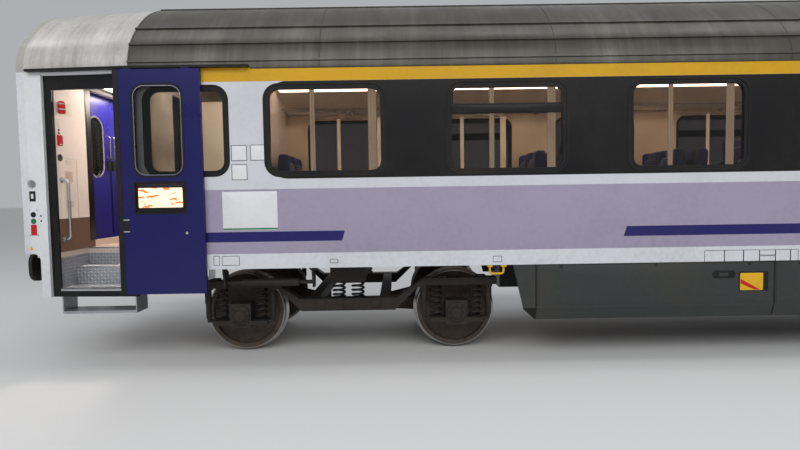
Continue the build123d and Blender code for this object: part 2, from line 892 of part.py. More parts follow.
# Tail lamps on the end walls
lamp_radius = 85
lamp_y = 1080
lamp_z = rail + tail_lamp_height
with BuildPart() as tail_lamps:
    with BuildSketch(cross_plane(half_length)):
        with Locations((lamp_y, lamp_z), (-lamp_y, lamp_z)):
            Circle(lamp_radius)
    extrude(amount=40)
    mirror(about=Plane.YZ)
save(tail_lamps.part, "tail_lamps")

# Arched saloon ceiling and flat vestibule ceilings
arch_edge_z = eaves_z - 40
ceiling_plate = 20
doorway_top = 1880
track_tall = 50
vestibule_ceiling_z = floor_z + doorway_top + 40 + track_tall


def under_arch(low, gap):
    """Outline of the room below the arched ceiling, on a plane across the coach."""
    with BuildLine() as line:
        ThreePointArc(
            (-inner_half, arch_edge_z - gap),
            (0, ceiling_z - gap),
            (inner_half, arch_edge_z - gap),
        )
        Polyline(
            (inner_half, arch_edge_z - gap),
            (inner_half, low),
            (-inner_half, low),
            (-inner_half, arch_edge_z - gap),
        )
    return line.line


with BuildPart() as ceiling:
    with BuildSketch(cross_plane(-straight_half)):
        with BuildLine():
            ThreePointArc((-inner_half, arch_edge_z), (0, ceiling_z), (inner_half, arch_edge_z))
            Line((inner_half, arch_edge_z), (inner_half, arch_edge_z + ceiling_plate))
            ThreePointArc(
                (inner_half, arch_edge_z + ceiling_plate),
                (0, ceiling_z + ceiling_plate),
                (-inner_half, arch_edge_z + ceiling_plate),
            )
            Line((-inner_half, arch_edge_z + ceiling_plate), (-inner_half, arch_edge_z))
        make_face()
    extrude(amount=2 * straight_half)
    with BuildSketch(Plane.XY.offset(vestibule_ceiling_z)):
        for end in ends:
            with BuildLine():
                Polyline(
                    (end * straight_half, -inner_half),
                    (end * lining_x, -side_y(lining_x) + wall),
                    (end * lining_x, side_y(lining_x) - wall),
                    (end * straight_half, inner_half),
                    close=True,
                )
            make_face()
    extrude(amount=ceiling_plate)
save(ceiling.part, "ceiling")

# Partitions: vestibule bulkhead, saloon bulkhead and toilet wall at each end
saloon_half = straight_half - corridor_length
toilet_wall_y = 370
aisle_mid = (aisle_near + aisle_far) / 2
aisle_width = aisle_far - aisle_near
with BuildPart() as partitions:
    for x in (saloon_half, straight_half - partition_thickness):
        with BuildSketch(cross_plane(x)):
            add(under_arch(floor_z, seat_gap))
            make_face()
            with Locations((aisle_mid, floor_z + doorway_top / 2)):
                Rectangle(aisle_width, doorway_top, mode=Mode.SUBTRACT)
        extrude(amount=partition_thickness)
    with BuildSketch(Plane.XY.offset(floor_z)):
        with Locations(((saloon_half + straight_half) / 2, toilet_wall_y)):
            Rectangle(corridor_length - partition_thickness, partition_thickness)
    extrude(amount=arch_edge_z - floor_z)
    with BuildSketch(cross_plane(straight_half)):
        with Locations((aisle_mid + aisle_width / 2, floor_z + doorway_top + 40 + track_tall / 2)):
            Rectangle(2 * aisle_width + 100, track_tall)
    extrude(amount=60)
    mirror(about=Plane.YZ)
save(partitions.part, "partitions")

for end in ends:
    with BuildPart() as vestibule_door:
        with BuildSketch(cross_plane(end * (straight_half + clearance))):
            with Locations((aisle_mid, floor_z + 5 + (doorway_top + 35 - seat_gap) / 2)):
                Rectangle(aisle_width + 80, doorway_top + 35 - seat_gap)
        extrude(amount=end * 30)
    save(vestibule_door.part, f"vestibule_door_{names[end]}")

# Seats in facing pairs, one bay to each window
seat_slack = 6
# Side profile of a seat: distance from its back's outer face, height above the floor
seat_profile = (
    (0, 0), (420, 0), (420, 250), (610, 280), (620, 450), (200, 430),
    (110, 1180), (10, 1180),
)
seat_wall_gap = 31.5
single_width = 560
first_pair_width = 1070
second_pair_width = 930
seat_edge = inner_half - seat_wall_gap
first_rows = (-seat_edge, -seat_edge + single_width), (seat_edge - first_pair_width, seat_edge)
second_rows = (-seat_edge, -seat_edge + second_pair_width), (seat_edge - second_pair_width, seat_edge)


def seat_block(places, rows, name):
    """Facing seats of one class, one solid to a row on each side of the aisle."""
    with BuildPart() as seats:
        for low, high in rows:
            with BuildSketch(Plane.XZ.offset(-low)):
                for x in places:
                    for face in sides:
                        back = x + face * (bay_pitch / 2 - seat_slack)
                        points = [(back - face * d, floor_z + h) for d, h in seat_profile]
                        with BuildLine():
                            Polyline(*points, close=True)
                        make_face()
            extrude(amount=low - high)
    save(seats.part, name)


seat_block(bay_places[: bays // 2], first_rows, "first_class_seats")
seat_block(bay_places[bays // 2:], second_rows, "second_class_seats")

# Wall tables under the windows, and curtains gathered beside them
table_depth = 560
table_length = 620
table_height = 730
table_leg = 60
with BuildPart() as tables:
    with BuildSketch(Plane.XY.offset(floor_z + table_height)):
        for x in bay_places:
            with Locations((x, inner_half - table_depth / 2)):
                Rectangle(table_length, table_depth)
    extrude(amount=30)
    with BuildSketch(Plane.XY.offset(floor_z)):
        for x in bay_places:
            with Locations((x, inner_half - table_leg)):
                Rectangle(table_leg, table_leg)
    extrude(amount=table_height)
    mirror(about=Plane.XZ)
save(tables.part, "tables")

# Place along the window, width
curtain_places = ((-150, 55), (500, 90))
curtain_thickness = 30
with BuildPart() as curtains:
    for side in sides:
        with BuildSketch(wall_plane(side, wall + seat_gap)):
            for x in bay_places:
                for offset_x, width in curtain_places:
                    with Locations((x + offset_x, window_mid_z)):
                        Rectangle(width, window_high - window_low + 80)
        extrude(amount=side * curtain_thickness)
save(curtains.part, "curtains")

# Luggage racks above the windows
rack_z = rail + window_high + 60
rack_depth = 380
with BuildPart() as luggage_racks:
    with BuildSketch(cross_plane(-saloon_half)):
        with BuildLine():
            Polyline(
                (inner_half, rack_z),
                (inner_half - rack_depth, rack_z + 30),
                (inner_half - rack_depth, rack_z + 75),
                (inner_half - rack_depth + 20, rack_z + 75),
                (inner_half - rack_depth + 25, rack_z + 50),
                (inner_half, rack_z + 25),
                close=True,
            )
        make_face()
    extrude(amount=2 * saloon_half)
    mirror(about=Plane.XZ)
save(luggage_racks.part, "luggage_racks")

# Grab rails in the entrances
rail_bar = 16
grab_x = lining_x - 45
grab_y = side_y(opening_x1) - wall - 60
grab_length = 660
grab_low_z = floor_z + 140
grab_high_z = grab_low_z + grab_length
with BuildPart() as handrails:
    with BuildLine(Plane.XZ.offset(grab_y)) as grab_path:
        FilletPolyline(
            (lining_x, grab_low_z),
            (grab_x - 30, grab_low_z),
            (grab_x - 30, grab_high_z),
            (lining_x, grab_high_z),
            radius=60,
        )
    with BuildSketch(Plane(origin=(lining_x, -grab_y, grab_low_z), z_dir=(-1, 0, 0))):
        Rectangle(2 * rail_bar, 2 * rail_bar)
    sweep(path=grab_path.line)
    mirror(about=Plane.YZ)
    mirror(about=Plane.XZ)
save(handrails.part, "handrails")

# Bogies: side frames with transoms, bolster, axle boxes, springs and brakes
beam_inner = journal_centre - 80
beam_outer = journal_centre + 80
beam_ends = 1720
# Upper edge of a side frame, then its lower edge: distance from the middle, height
beam_profile = (
    (-beam_ends, 860), (-880, 860), (-560, 640), (560, 640), (880, 860), (beam_ends, 860),
    (beam_ends, 780), (830, 780), (540, 500), (-540, 500), (-830, 780), (-beam_ends, 780),
)
transom_x = 420
transom_size = (120, 130)
transom_z = rail + 570
bogie_bolster = (400, 2180)
bogie_bolster_z = (rail + 840, bolster_low_z - clearance)
bearer_pad = 150
spring_radius = 80
primary_offset = 230
box_size = 250
box_low_z = axle_z - 140
wing_z = axle_z - 60
wing_thickness = 50
box_end_y = journal_centre + 95
for end in ends:
    centre_x = end * bogie_x
    with BuildPart() as bogie_frame:
        with BuildSketch(Plane.XZ.offset(-beam_outer)):
            with BuildLine():
                Polyline(*((centre_x + x, rail + z) for x, z in beam_profile), close=True)
            make_face()
        extrude(amount=beam_outer - beam_inner)
        mirror(about=Plane.XZ)
        with BuildSketch(Plane.XY.offset(transom_z - transom_size[1] / 2)):
            for shift in sides:
                with Locations((centre_x + shift * transom_x, 0)):
                    Rectangle(transom_size[0], 2 * beam_inner)
        extrude(amount=transom_size[1])
    save(bogie_frame.part, f"bogie_frame_{names[end]}")

    with BuildPart() as bogie_bolster_part:
        with BuildSketch(Plane.XY.offset(bogie_bolster_z[0])):
            with Locations((centre_x, 0)):
                Rectangle(*bogie_bolster)
                Circle(pin_bore, mode=Mode.SUBTRACT)
        extrude(amount=bogie_bolster_z[1] - bogie_bolster_z[0])
        with BuildSketch(Plane.XY.offset(bogie_bolster_z[1])):
            for side in sides:
                with Locations((centre_x, side * 800)):
                    Rectangle(bearer_pad, bearer_pad)
        extrude(amount=clearance - seat_gap)
    save(bogie_bolster_part.part, f"bogie_bolster_{names[end]}")

    with BuildPart() as axle_boxes:
        for shift in sides:
            axle_x = centre_x + shift * wheelbase / 2
            with BuildSketch(Plane.XZ.offset(-box_end_y)):
                with Locations((axle_x, axle_z)):
                    Rectangle(box_size, 280)
                with Locations((axle_x, wing_z - wing_thickness / 2)):
                    Rectangle(2 * primary_offset + 2 * spring_radius, wing_thickness)
            extrude(amount=2 * (box_end_y - journal_centre))
            with BuildSketch(Plane.XZ.offset(-box_end_y + 15)):
                with Locations((axle_x, axle_z)):
                    Circle(journal_diameter / 2 + 0.1)
            extrude(amount=2 * (box_end_y - journal_centre), mode=Mode.SUBTRACT)
        mirror(about=Plane.XZ)
    save(axle_boxes.part, f"axle_boxes_{names[end]}")

    with BuildPart() as springs:
        with BuildSketch(Plane.XY.offset(wing_z)):
            for shift in sides:
                for offset_x in (-primary_offset, primary_offset):
                    for side in sides:
                        with Locations(
                            (centre_x + shift * wheelbase / 2 + offset_x, side * journal_centre)
                        ):
                            Circle(spring_radius - 5)
        extrude(amount=rail + 780 - wing_z)
        with BuildSketch(Plane.XY.offset(rail + 640)):
            for shift in sides:
                for side in sides:
                    with Locations((centre_x + shift * 110, side * journal_centre)):
                        Circle(spring_radius)
        extrude(amount=bogie_bolster_z[0] - rail - 640)
    save(springs.part, f"coil_springs_{names[end]}")

    pads_near = wheelbase / 2 - 280
    pads_far = wheelbase / 2 - 150
    with BuildPart() as brakes:
        for shift in sides:
            for disc_y in (-disc_centre, disc_centre):
                for pad in sides:
                    pad_y = disc_y + pad * (disc_width / 2 + clearance + 15)
                    with BuildSketch(Plane.XZ.offset(-pad_y - 15)):
                        with BuildLine():
                            x0 = centre_x + shift * (transom_x - 40)
                            Polyline(
                                (x0, transom_z - 65),
                                (x0 + shift * 90, transom_z - 65),
                                (x0 + shift * 90, axle_z - 10),
                                (centre_x + shift * pads_near, axle_z + 110),
                                (centre_x + shift * pads_far, axle_z + 110),
                                (centre_x + shift * pads_far, axle_z - 110),
                                (centre_x + shift * pads_near, axle_z - 110),
                                (x0, axle_z - 70),
                                close=True,
                            )
                        make_face()
                    extrude(amount=30)
    save(brakes.part, f"brake_gear_{names[end]}")

# Wheelsets: axle, brake discs, wheels and journals turned as one
tread = wheel_diameter / 2
axle_r = axle_diameter / 2
rim_r = tread - 65
hub_r = 130
wheel_in = back_to_back / 2
wheel_out = wheel_in + wheel_width
web_in = wheel_in + 55
web_out = web_in + 30
hub_in = wheel_in - 12
hub_out = wheel_out + 15
# Half section: distance along the axle from its middle, radius
wheelset_profile = (
    (0, 0),
    (0, axle_r),
    (disc_centre - disc_width / 2, axle_r),
    (disc_centre - disc_width / 2, disc_diameter / 2),
    (disc_centre + disc_width / 2, disc_diameter / 2),
    (disc_centre + disc_width / 2, axle_r),
    (hub_in, axle_r),
    (hub_in, hub_r),
    (web_in, hub_r),
    (web_in, rim_r),
    (wheel_in, rim_r),
    (wheel_in, tread + flange_depth),
    (wheel_in + flange_width / 2, tread + flange_depth),
    (wheel_in + flange_width, tread),
    (wheel_out, tread - 5),
    (wheel_out, rim_r),
    (web_out, rim_r),
    (web_out, hub_r),
    (hub_out, hub_r),
    (hub_out, journal_diameter / 2),
    (journal_centre + journal_length / 2, journal_diameter / 2),
    (journal_centre + journal_length / 2, 0),
)
for end in ends:
    for number, shift in ((1, -1), (2, 1)):
        axle_x = end * bogie_x + shift * wheelbase / 2
        with BuildPart() as wheelset:
            with BuildSketch(Plane(origin=(axle_x, 0, axle_z), x_dir=(0, 1, 0), z_dir=(1, 0, 0))):
                with BuildLine():
                    Polyline(*wheelset_profile, close=True)
                make_face()
            revolve(axis=Axis((axle_x, 0, axle_z), (0, 1, 0)))
            mirror(about=Plane.XZ)
        save(wheelset.part, f"wheelset_{names[end]}{number}")
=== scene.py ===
"""Looks of the express passenger coach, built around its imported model.

Metres. +X runs along the coach, -Y is the side with the open door and +Z is up. A Form is a
plate's low and high levels, then its corner radius and bevel where they are not the usual ones.
"""

import logging
import math
from dataclasses import dataclass, field
from enum import Enum

import bpy
import numpy as np
from mathutils import Matrix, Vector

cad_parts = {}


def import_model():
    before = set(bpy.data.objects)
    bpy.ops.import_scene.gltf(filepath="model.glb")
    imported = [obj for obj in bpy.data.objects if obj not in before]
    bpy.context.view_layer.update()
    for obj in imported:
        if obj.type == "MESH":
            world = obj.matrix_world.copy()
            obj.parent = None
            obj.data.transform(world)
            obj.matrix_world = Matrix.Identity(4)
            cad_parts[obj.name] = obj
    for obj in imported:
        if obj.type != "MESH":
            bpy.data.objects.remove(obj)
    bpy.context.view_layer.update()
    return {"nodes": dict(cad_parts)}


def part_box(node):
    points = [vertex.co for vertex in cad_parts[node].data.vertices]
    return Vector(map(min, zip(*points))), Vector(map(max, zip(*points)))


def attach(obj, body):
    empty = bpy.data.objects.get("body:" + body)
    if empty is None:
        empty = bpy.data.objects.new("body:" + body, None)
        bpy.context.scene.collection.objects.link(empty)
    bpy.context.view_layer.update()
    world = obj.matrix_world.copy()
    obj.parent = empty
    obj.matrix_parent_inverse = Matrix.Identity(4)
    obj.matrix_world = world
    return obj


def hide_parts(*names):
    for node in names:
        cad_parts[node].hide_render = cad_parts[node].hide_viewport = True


Array = np.ndarray
Colour = tuple[float, float, float]
Pair = tuple[float, float]
Triple = tuple[float, float, float]
Box = tuple[float, float, float, float]
Profile = tuple[Pair, ...]
Form = tuple[float, ...]
Rows = tuple[tuple[float, ...], ...]

LOG = logging.getLogger("coach")
BODY = "carbody"
RAIL = 0.028
FLOOR_Z = 1.278
HALF_WIDTH = 1.4415
INNER_HALF = 1.3615
TAPER = 0.09 / 1.24
TAPER_START = 10.86
BAY = 1.95
BAYS = 10
X_AXIS: Triple = (1.0, 0.0, 0.0)
Y_AXIS: Triple = (0.0, 1.0, 0.0)
Z_AXIS: Triple = (0.0, 0.0, 1.0)


def srgb(red: float, green: float, blue: float) -> Colour:
    """Linear colour of a display colour given in steps of 255: the usual 2.4 power curve.

    Args:
        red: Red, 0 to 255.
        green: Green, 0 to 255.
        blue: Blue, 0 to 255.

    Returns:
        The linear colour.
    """
    value = np.array([red, green, blue]) / 255.0
    linear = np.where(value <= 0.04045, value / 12.92, ((value + 0.055) / 1.055) ** 2.4)
    return tuple(float(v) for v in linear)


class Side(Enum):
    """The two sides of the coach, by the sign of Y."""

    NEAR = -1
    FAR = 1


class End(Enum):
    """The two ends of the coach, by the sign of X."""

    A = -1
    B = 1

    @property
    def letter(self) -> str:
        """Letter used in the names of the bodies at this end."""
        return self.name.lower()


EVERY_CORNER = tuple((side, end) for side in Side for end in End)


class Socket:
    """A shader value that takes part in ordinary arithmetic."""

    def __init__(self, graph: "Graph", out: bpy.types.NodeSocket) -> None:
        """Keep the graph and the node output.

        Args:
            graph: The graph that new Math nodes go into.
            out: The output that this value stands for.
        """
        self.graph = graph
        self.out = out

    def __add__(self, other: "Socket | float") -> "Socket":
        """Sum of two values."""
        return self.graph.math("ADD", self, other)

    def __radd__(self, other: float) -> "Socket":
        """Sum with a plain number on the left."""
        return self.graph.math("ADD", other, self)

    def __sub__(self, other: "Socket | float") -> "Socket":
        """Difference of two values."""
        return self.graph.math("SUBTRACT", self, other)

    def __rsub__(self, other: float) -> "Socket":
        """Difference with a plain number on the left."""
        return self.graph.math("SUBTRACT", other, self)

    def __mul__(self, other: "Socket | float") -> "Socket":
        """Product of two values."""
        return self.graph.math("MULTIPLY", self, other)

    def __rmul__(self, other: float) -> "Socket":
        """Product with a plain number on the left."""
        return self.graph.math("MULTIPLY", other, self)

    def __truediv__(self, other: "Socket | float") -> "Socket":
        """Quotient of two values."""
        return self.graph.math("DIVIDE", self, other)

    def __pow__(self, other: float) -> "Socket":
        """Power of a value."""
        return self.graph.math("POWER", self, other)

    def __abs__(self) -> "Socket":
        """Size of a value without its sign."""
        return self.graph.math("ABSOLUTE", self, 0.0)

    def sine(self) -> "Socket":
        """Sine of a value in radians."""
        return self.graph.math("SINE", self, 0.0)

    def above(self, low: float, soft: float = 0.003) -> "Socket":
        """Mask that is 1 where the value is over low, with a soft edge."""
        return self.graph.ramp(self, low - soft, low + soft)

    def below(self, high: float, soft: float = 0.003) -> "Socket":
        """Mask that is 1 where the value is under high, with a soft edge."""
        return 1.0 - self.above(high, soft)

    def within(self, low: float, high: float, soft: float = 0.003) -> "Socket":
        """Mask that is 1 between two levels, with soft edges."""
        return self.above(low, soft) * self.below(high, soft)

    def least(self, other: "Socket | float") -> "Socket":
        """The smaller of two values."""
        return self.graph.math("MINIMUM", self, other)

    def most(self, other: "Socket | float") -> "Socket":
        """The larger of two values."""
        return self.graph.math("MAXIMUM", self, other)


class Graph:
    """Shader graph of one material around one Principled shader."""

    def __init__(self, name: str) -> None:
        """Start a material with an output and a Principled shader.

        Args:
            name: Name of the material.
        """
        self.material = bpy.data.materials.new(name)
        self.material.use_nodes = True
        self.tree = self.material.node_tree
        self.tree.nodes.clear()
        self.shader = self.tree.nodes.new("ShaderNodeBsdfPrincipled")
        self.output = self.tree.nodes.new("ShaderNodeOutputMaterial")
        self.tree.links.new(self.shader.outputs[0], self.output.inputs[0])
        self._axes: dict[str, Socket] = {}

    def feed(self, socket: bpy.types.NodeSocket, value: object) -> None:
        """Give a socket a link, a number or a colour.

        Args:
            socket: The input that takes the value.
            value: A Socket, a number, or a colour or vector tuple.
        """
        if isinstance(value, Socket):
            self.tree.links.new(value.out, socket)
        elif isinstance(value, tuple) and socket.type == "RGBA" and len(value) == 3:
            socket.default_value = (*value, 1.0)
        else:
            socket.default_value = value

    def add(
        self,
        kind: str,
        settings: dict[str, object] | None = None,
        inputs: dict[int | str, object] | None = None,
        output: int | str = 0,
    ) -> Socket:
        """Add any node, set it up and feed it.

        Args:
            kind: The node's type.
            settings: Properties that are set before the inputs; "stops" fills a colour ramp.
            inputs: Values or links by the input's name or number.
            output: The output that is returned.

        Returns:
            The chosen output as a value.
        """
        node = self.tree.nodes.new(kind)
        for key, value in (settings or {}).items():
            if key == "stops":
                self._fill_ramp(node.color_ramp, value)
            else:
                setattr(node, key, value)
        for key, value in (inputs or {}).items():
            self.feed(node.inputs[key], value)
        return Socket(self, node.outputs[output])

    @staticmethod
    def _fill_ramp(ramp: bpy.types.ColorRamp, stops: list[tuple[float, Colour]]) -> None:
        """Set a colour ramp's stops.

        Args:
            ramp: The ramp to fill.
            stops: Position and colour of each stop, in order.
        """
        while len(ramp.elements) < len(stops):
            ramp.elements.new(1.0)
        for element, (place, colour) in zip(ramp.elements, stops):
            element.position = place
            element.color = (*colour, 1.0)

    def math(self, operation: str, first: object, second: object) -> Socket:
        """Add a Math node for two numbers."""
        return self.add("ShaderNodeMath", {"operation": operation}, {0: first, 1: second})

    def ramp(self, value: Socket, low: float, high: float) -> Socket:
        """Smooth step of a value from 0 at low to 1 at high."""
        names = {"Value": value, "From Min": low, "From Max": high, "To Min": 0.0, "To Max": 1.0}
        return self.add("ShaderNodeMapRange", {"interpolation_type": "SMOOTHSTEP"}, names)

    def place(self) -> Socket:
        """Object coordinates, which are the row frame in metres."""
        return self.add("ShaderNodeTexCoord", output="Object")

    def axis(self, name: str) -> Socket:
        """One of the object coordinates, X, Y or Z.

        Args:
            name: The coordinate's letter.

        Returns:
            The coordinate, in metres.
        """
        if name not in self._axes:
            place = self.place()
            for letter in "XYZ":
                self._axes[letter] = self.add("ShaderNodeSeparateXYZ", None, {0: place}, letter)
        return self._axes[name]

    def noise(
        self,
        scale: float,
        detail: float = 3.0,
        stretch: Triple = (1.0, 1.0, 1.0),
        rough: float = 0.5,
    ) -> Socket:
        """Noise over the object coordinates.

        Args:
            scale: Waves to the metre.
            detail: Octaves.
            stretch: Factor on each coordinate, under 1 to draw the noise out.
            rough: How much the small octaves count.

        Returns:
            The noise, about 0.5 on average.
        """
        names = {"Vector": self.place(), "Scale": stretch}
        vector = self.add("ShaderNodeMapping", {"vector_type": "POINT"}, names)
        names = {"Vector": vector, "Scale": scale, "Detail": detail, "Roughness": rough}
        return self.add("ShaderNodeTexNoise", None, names)

    def mix(self, factor: object, first: object, second: object) -> Socket:
        """Blend two colours by a factor."""
        names = {0: factor, 6: first, 7: second}
        return self.add("ShaderNodeMix", {"data_type": "RGBA"}, names, 2)

    def scale_colour(self, colour: object, factor: Socket) -> Socket:
        """Multiply a colour by a number."""
        names = {0: colour, "Scale": factor}
        return self.add("ShaderNodeVectorMath", {"operation": "SCALE"}, names)

    def bump(self, height: Socket, distance: float, strength: float = 1.0) -> None:
        """Feed the shader's normal from a height.

        Args:
            height: Height pattern, 0 to 1.
            distance: What a height of 1 stands for, in metres.
            strength: Strength of the effect.
        """
        names = {"Height": height, "Distance": distance, "Strength": strength}
        self.put(Normal=self.add("ShaderNodeBump", None, names))

    def put(self, **values: object) -> None:
        """Feed the Principled shader; an underscore in a name stands for a space."""
        for key, value in values.items():
            self.feed(self.shader.inputs[key.replace("_", " ")], value)


@dataclass(frozen=True)
class Finish:
    """A painted, moulded or metal surface with uneven colour, grime and a fine grain."""

    name: str
    colour: Colour
    rough: float = 0.45
    metallic: float = 0.0
    coat: float = 0.0
    grime: float = 0.25
    grime_colour: Colour = srgb(70, 62, 52)
    grain: float = 0.0002
    grain_scale: float = 90.0
    low_dirt: float = 0.0
    shine: float = 0.25

    def colouring(self, graph: Graph) -> object:
        """Colour before grime."""
        return self.colour

    def shade(self, graph: Graph) -> None:
        """Fill the graph: cloudy grime over the colour, uneven gloss and a fine grain.

        Args:
            graph: The graph that is filled.
        """
        cloud = graph.noise(1.3, 5.0, rough=0.62)
        fleck = graph.noise(22.0, 4.0)
        dirt = graph.ramp(cloud * 0.7 + fleck * 0.3, 0.42, 0.72) * self.grime
        if self.low_dirt:
            dirt = dirt + graph.axis("Z").below(RAIL + 1.35, 0.5) * self.low_dirt * fleck
        graph.put(
            Base_Color=graph.mix(dirt, self.colouring(graph), self.grime_colour),
            Roughness=graph.ramp(cloud, 0.2, 0.8) * 0.16 + (self.rough - 0.08),
            Metallic=self.metallic,
            Specular_IOR_Level=self.shine,
        )
        if self.coat:
            graph.put(Coat_Weight=self.coat, Coat_Roughness=0.08)
        if self.grain:
            graph.bump(graph.noise(self.grain_scale, 3.0), self.grain)

    def material(self) -> bpy.types.Material:
        """The finish's material, made once."""
        name = f"coach_{self.name}"
        if name not in bpy.data.materials:
            self.shade(Graph(name))
        return bpy.data.materials[name]


@dataclass(frozen=True)
class SidePaint(Finish):
    """The livery of the side walls, with the cream lining on their inner faces."""

    sole_top: float = 1.214
    stripe: Pair = (1.343, 1.452)
    stripe_past: float = 0.6
    gap: Pair = (-8.60, -5.55)
    slant: Pair = (1.40, 0.3)
    lilac_top: float = 1.910
    band: Pair = (2.018, 3.055)
    band_half: float = 9.40
    band_radius: float = 0.22
    first_class_end: float = 0.0
    skin: float = 0.02
    white: Colour = srgb(214, 217, 222)
    lilac: Colour = srgb(158, 150, 172)
    navy: Colour = srgb(27, 27, 98)
    pale: Colour = srgb(206, 207, 213)
    black: Colour = srgb(9, 9, 11)
    yellow: Colour = srgb(206, 158, 20)
    cream: Colour = srgb(222, 205, 180)

    def colouring(self, graph: Graph) -> Socket:
        """Bands by height: sole band, lilac with the navy stripe, pale line, window band, top band.

        Args:
            graph: The graph that takes the nodes.

        Returns:
            The colour.
        """
        x, height = graph.axis("X"), graph.axis("Z") - RAIL
        colour = graph.mix(height.above(self.sole_top), self.white, self.lilac)
        bare = (x - (height - self.slant[0]) * self.slant[1]).within(*self.gap, 0.004)
        past = x.below(self.band_half + self.stripe_past)
        colour = graph.mix(height.within(*self.stripe) * (1.0 - bare) * past, colour, self.navy)
        colour = graph.mix(height.above(self.lilac_top), colour, self.pale)
        low, top = self.band
        inner = self.band_half - self.band_radius
        middle, tall = (low + top) / 2, (top - low) / 2 - self.band_radius
        out_x = (abs(x) - inner).most(0.0)
        out_z = (abs(height - middle) - tall).most(0.0)
        corner = (out_x * out_x + out_z * out_z) ** 0.5
        colour = graph.mix(corner.below(self.band_radius, 0.002), colour, self.black)
        first = x.below(self.first_class_end, 0.002)
        colour = graph.mix(height.above(top) * first, colour, self.yellow)
        inside = abs(graph.axis("Y")).below(HALF_WIDTH - self.skin, 0.001)
        return graph.mix(inside, colour, self.cream)


@dataclass(frozen=True)
class RoofPaint(Finish):
    """Weathered silver-grey roof with streaks that run down from the crown."""

    dark: Colour = srgb(52, 50, 42)
    plain: Colour = srgb(74, 72, 64)
    light: Colour = srgb(104, 102, 94)

    def colouring(self, graph: Graph) -> Socket:
        """Broad stains with thin streaks across the coach.

        Args:
            graph: The graph that takes the nodes.

        Returns:
            The colour.
        """
        streak = graph.noise(9.0, 6.0, (1.0, 0.06, 0.10), 0.65)
        stain = graph.noise(0.8, 4.0)
        stops = [(0.30, self.dark), (0.52, self.plain), (0.75, self.light)]
        both = streak * 0.65 + stain * 0.35
        return graph.add("ShaderNodeValToRGB", {"stops": stops}, {0: both})


@dataclass(frozen=True)
class EndPaint(Finish):
    """Pale end wall under a roof-coloured rim."""

    eaves: float = 3.232
    rim: Colour = srgb(168, 166, 160)

    def colouring(self, graph: Graph) -> Socket:
        """The wall's colour, and the roof's above the eaves."""
        return graph.mix(graph.axis("Z").above(self.eaves), self.colour, self.rim)


@dataclass(frozen=True)
class Lining(Finish):
    """Cream vestibule panels over a brown kick panel."""

    kick_top: float = 1.647
    kick: Colour = srgb(120, 92, 74)
    sill: Triple = (11.6, 0.62, 1.362)
    vinyl: Colour = srgb(222, 204, 190)

    def colouring(self, graph: Graph) -> Socket:
        """Brown below the kick height and cream above, with the floor's colour on the gangway sill.

        Args:
            graph: The graph that takes the nodes.

        Returns:
            The colour.
        """
        height = graph.axis("Z")
        colour = graph.mix(height.below(self.kick_top, 0.001), self.colour, self.kick)
        far = abs(graph.axis("X")).above(self.sill[0])
        narrow = abs(graph.axis("Y")).below(self.sill[1], 0.001)
        return graph.mix(far * narrow * height.below(self.sill[2], 0.001), colour, self.vinyl)


@dataclass(frozen=True)
class Glass(Finish):
    """Panes: a see-through shader, tinted along the saloon, under a mirror-like one."""

    tint: Colour = (0.63, 0.60, 0.60)
    mirror: float = 0.16
    pale: Colour = (0.86, 0.87, 0.85)
    tinted_half: float = 9.7

    def shade(self, graph: Graph) -> None:
        """Blend a see-through shader and a glossy one by the glancing angle.

        Args:
            graph: The graph that is filled.
        """
        graph.put(Base_Color=(0.02, 0.022, 0.022), Roughness=self.rough)
        tinted = graph.add("ShaderNodeBsdfTransparent", None, {0: self.tint})
        pale = graph.add("ShaderNodeBsdfTransparent", None, {0: self.pale})
        far = abs(graph.axis("X")).above(self.tinted_half)
        clear = graph.add("ShaderNodeMixShader", None, {0: far, 1: tinted, 2: pale})
        edge = graph.add("ShaderNodeFresnel", None, {"IOR": 1.5})
        dust = graph.ramp(graph.noise(2.2, 5.0), 0.35, 0.8) * 0.10
        factor = edge * 0.9 + dust + self.mirror
        both = graph.add("ShaderNodeMixShader", None, {0: factor, 1: clear})
        graph.tree.links.new(graph.shader.outputs[0], both.out.node.inputs[2])
        graph.tree.links.new(both.out, graph.output.inputs[0])


@dataclass(frozen=True)
class Woven(Finish):
    """Seat or curtain cloth with a plain weave and a soft sheen."""

    thread: float = 520.0
    sheen: float = 0.4
    second: Colour = srgb(60, 80, 130)
    # Emission strength. Above zero the cloth glows though it is no lamp: painted light, used on the
    # curtains in place of the saloon lamps' light.
    glow: float = 0.0

    def shade(self, graph: Graph) -> None:
        """Two crossed sets of threads lift the bump and darken the colour in the hollows between them,
        which is painted shade.

        Args:
            graph: The graph that is filled.
        """
        names = {"Vector": graph.place(), "Scale": self.thread / 6.3}
        along, across = (
            graph.add("ShaderNodeTexWave", {"wave_type": "BANDS", "bands_direction": way}, names)
            for way in "XZ"
        )
        weave = along * across
        fleck = graph.ramp(graph.noise(60.0, 2.0), 0.52, 0.58)
        colour = graph.mix(fleck * 0.6, self.colour, self.second)
        graph.put(
            # Thread pattern in the colour, darker in the hollows between threads: painted shade.
            Base_Color=graph.scale_colour(colour, weave * 0.35 + 0.75),
            Roughness=graph.ramp(weave, 0.0, 1.0) * 0.1 + (self.rough - 0.05),
            Sheen_Weight=self.sheen,
            Sheen_Roughness=0.4,
            # Any glow set here is painted light.
            Emission_Color=self.colour,
            Emission_Strength=self.glow,
        )
        graph.bump(weave, 0.0006)


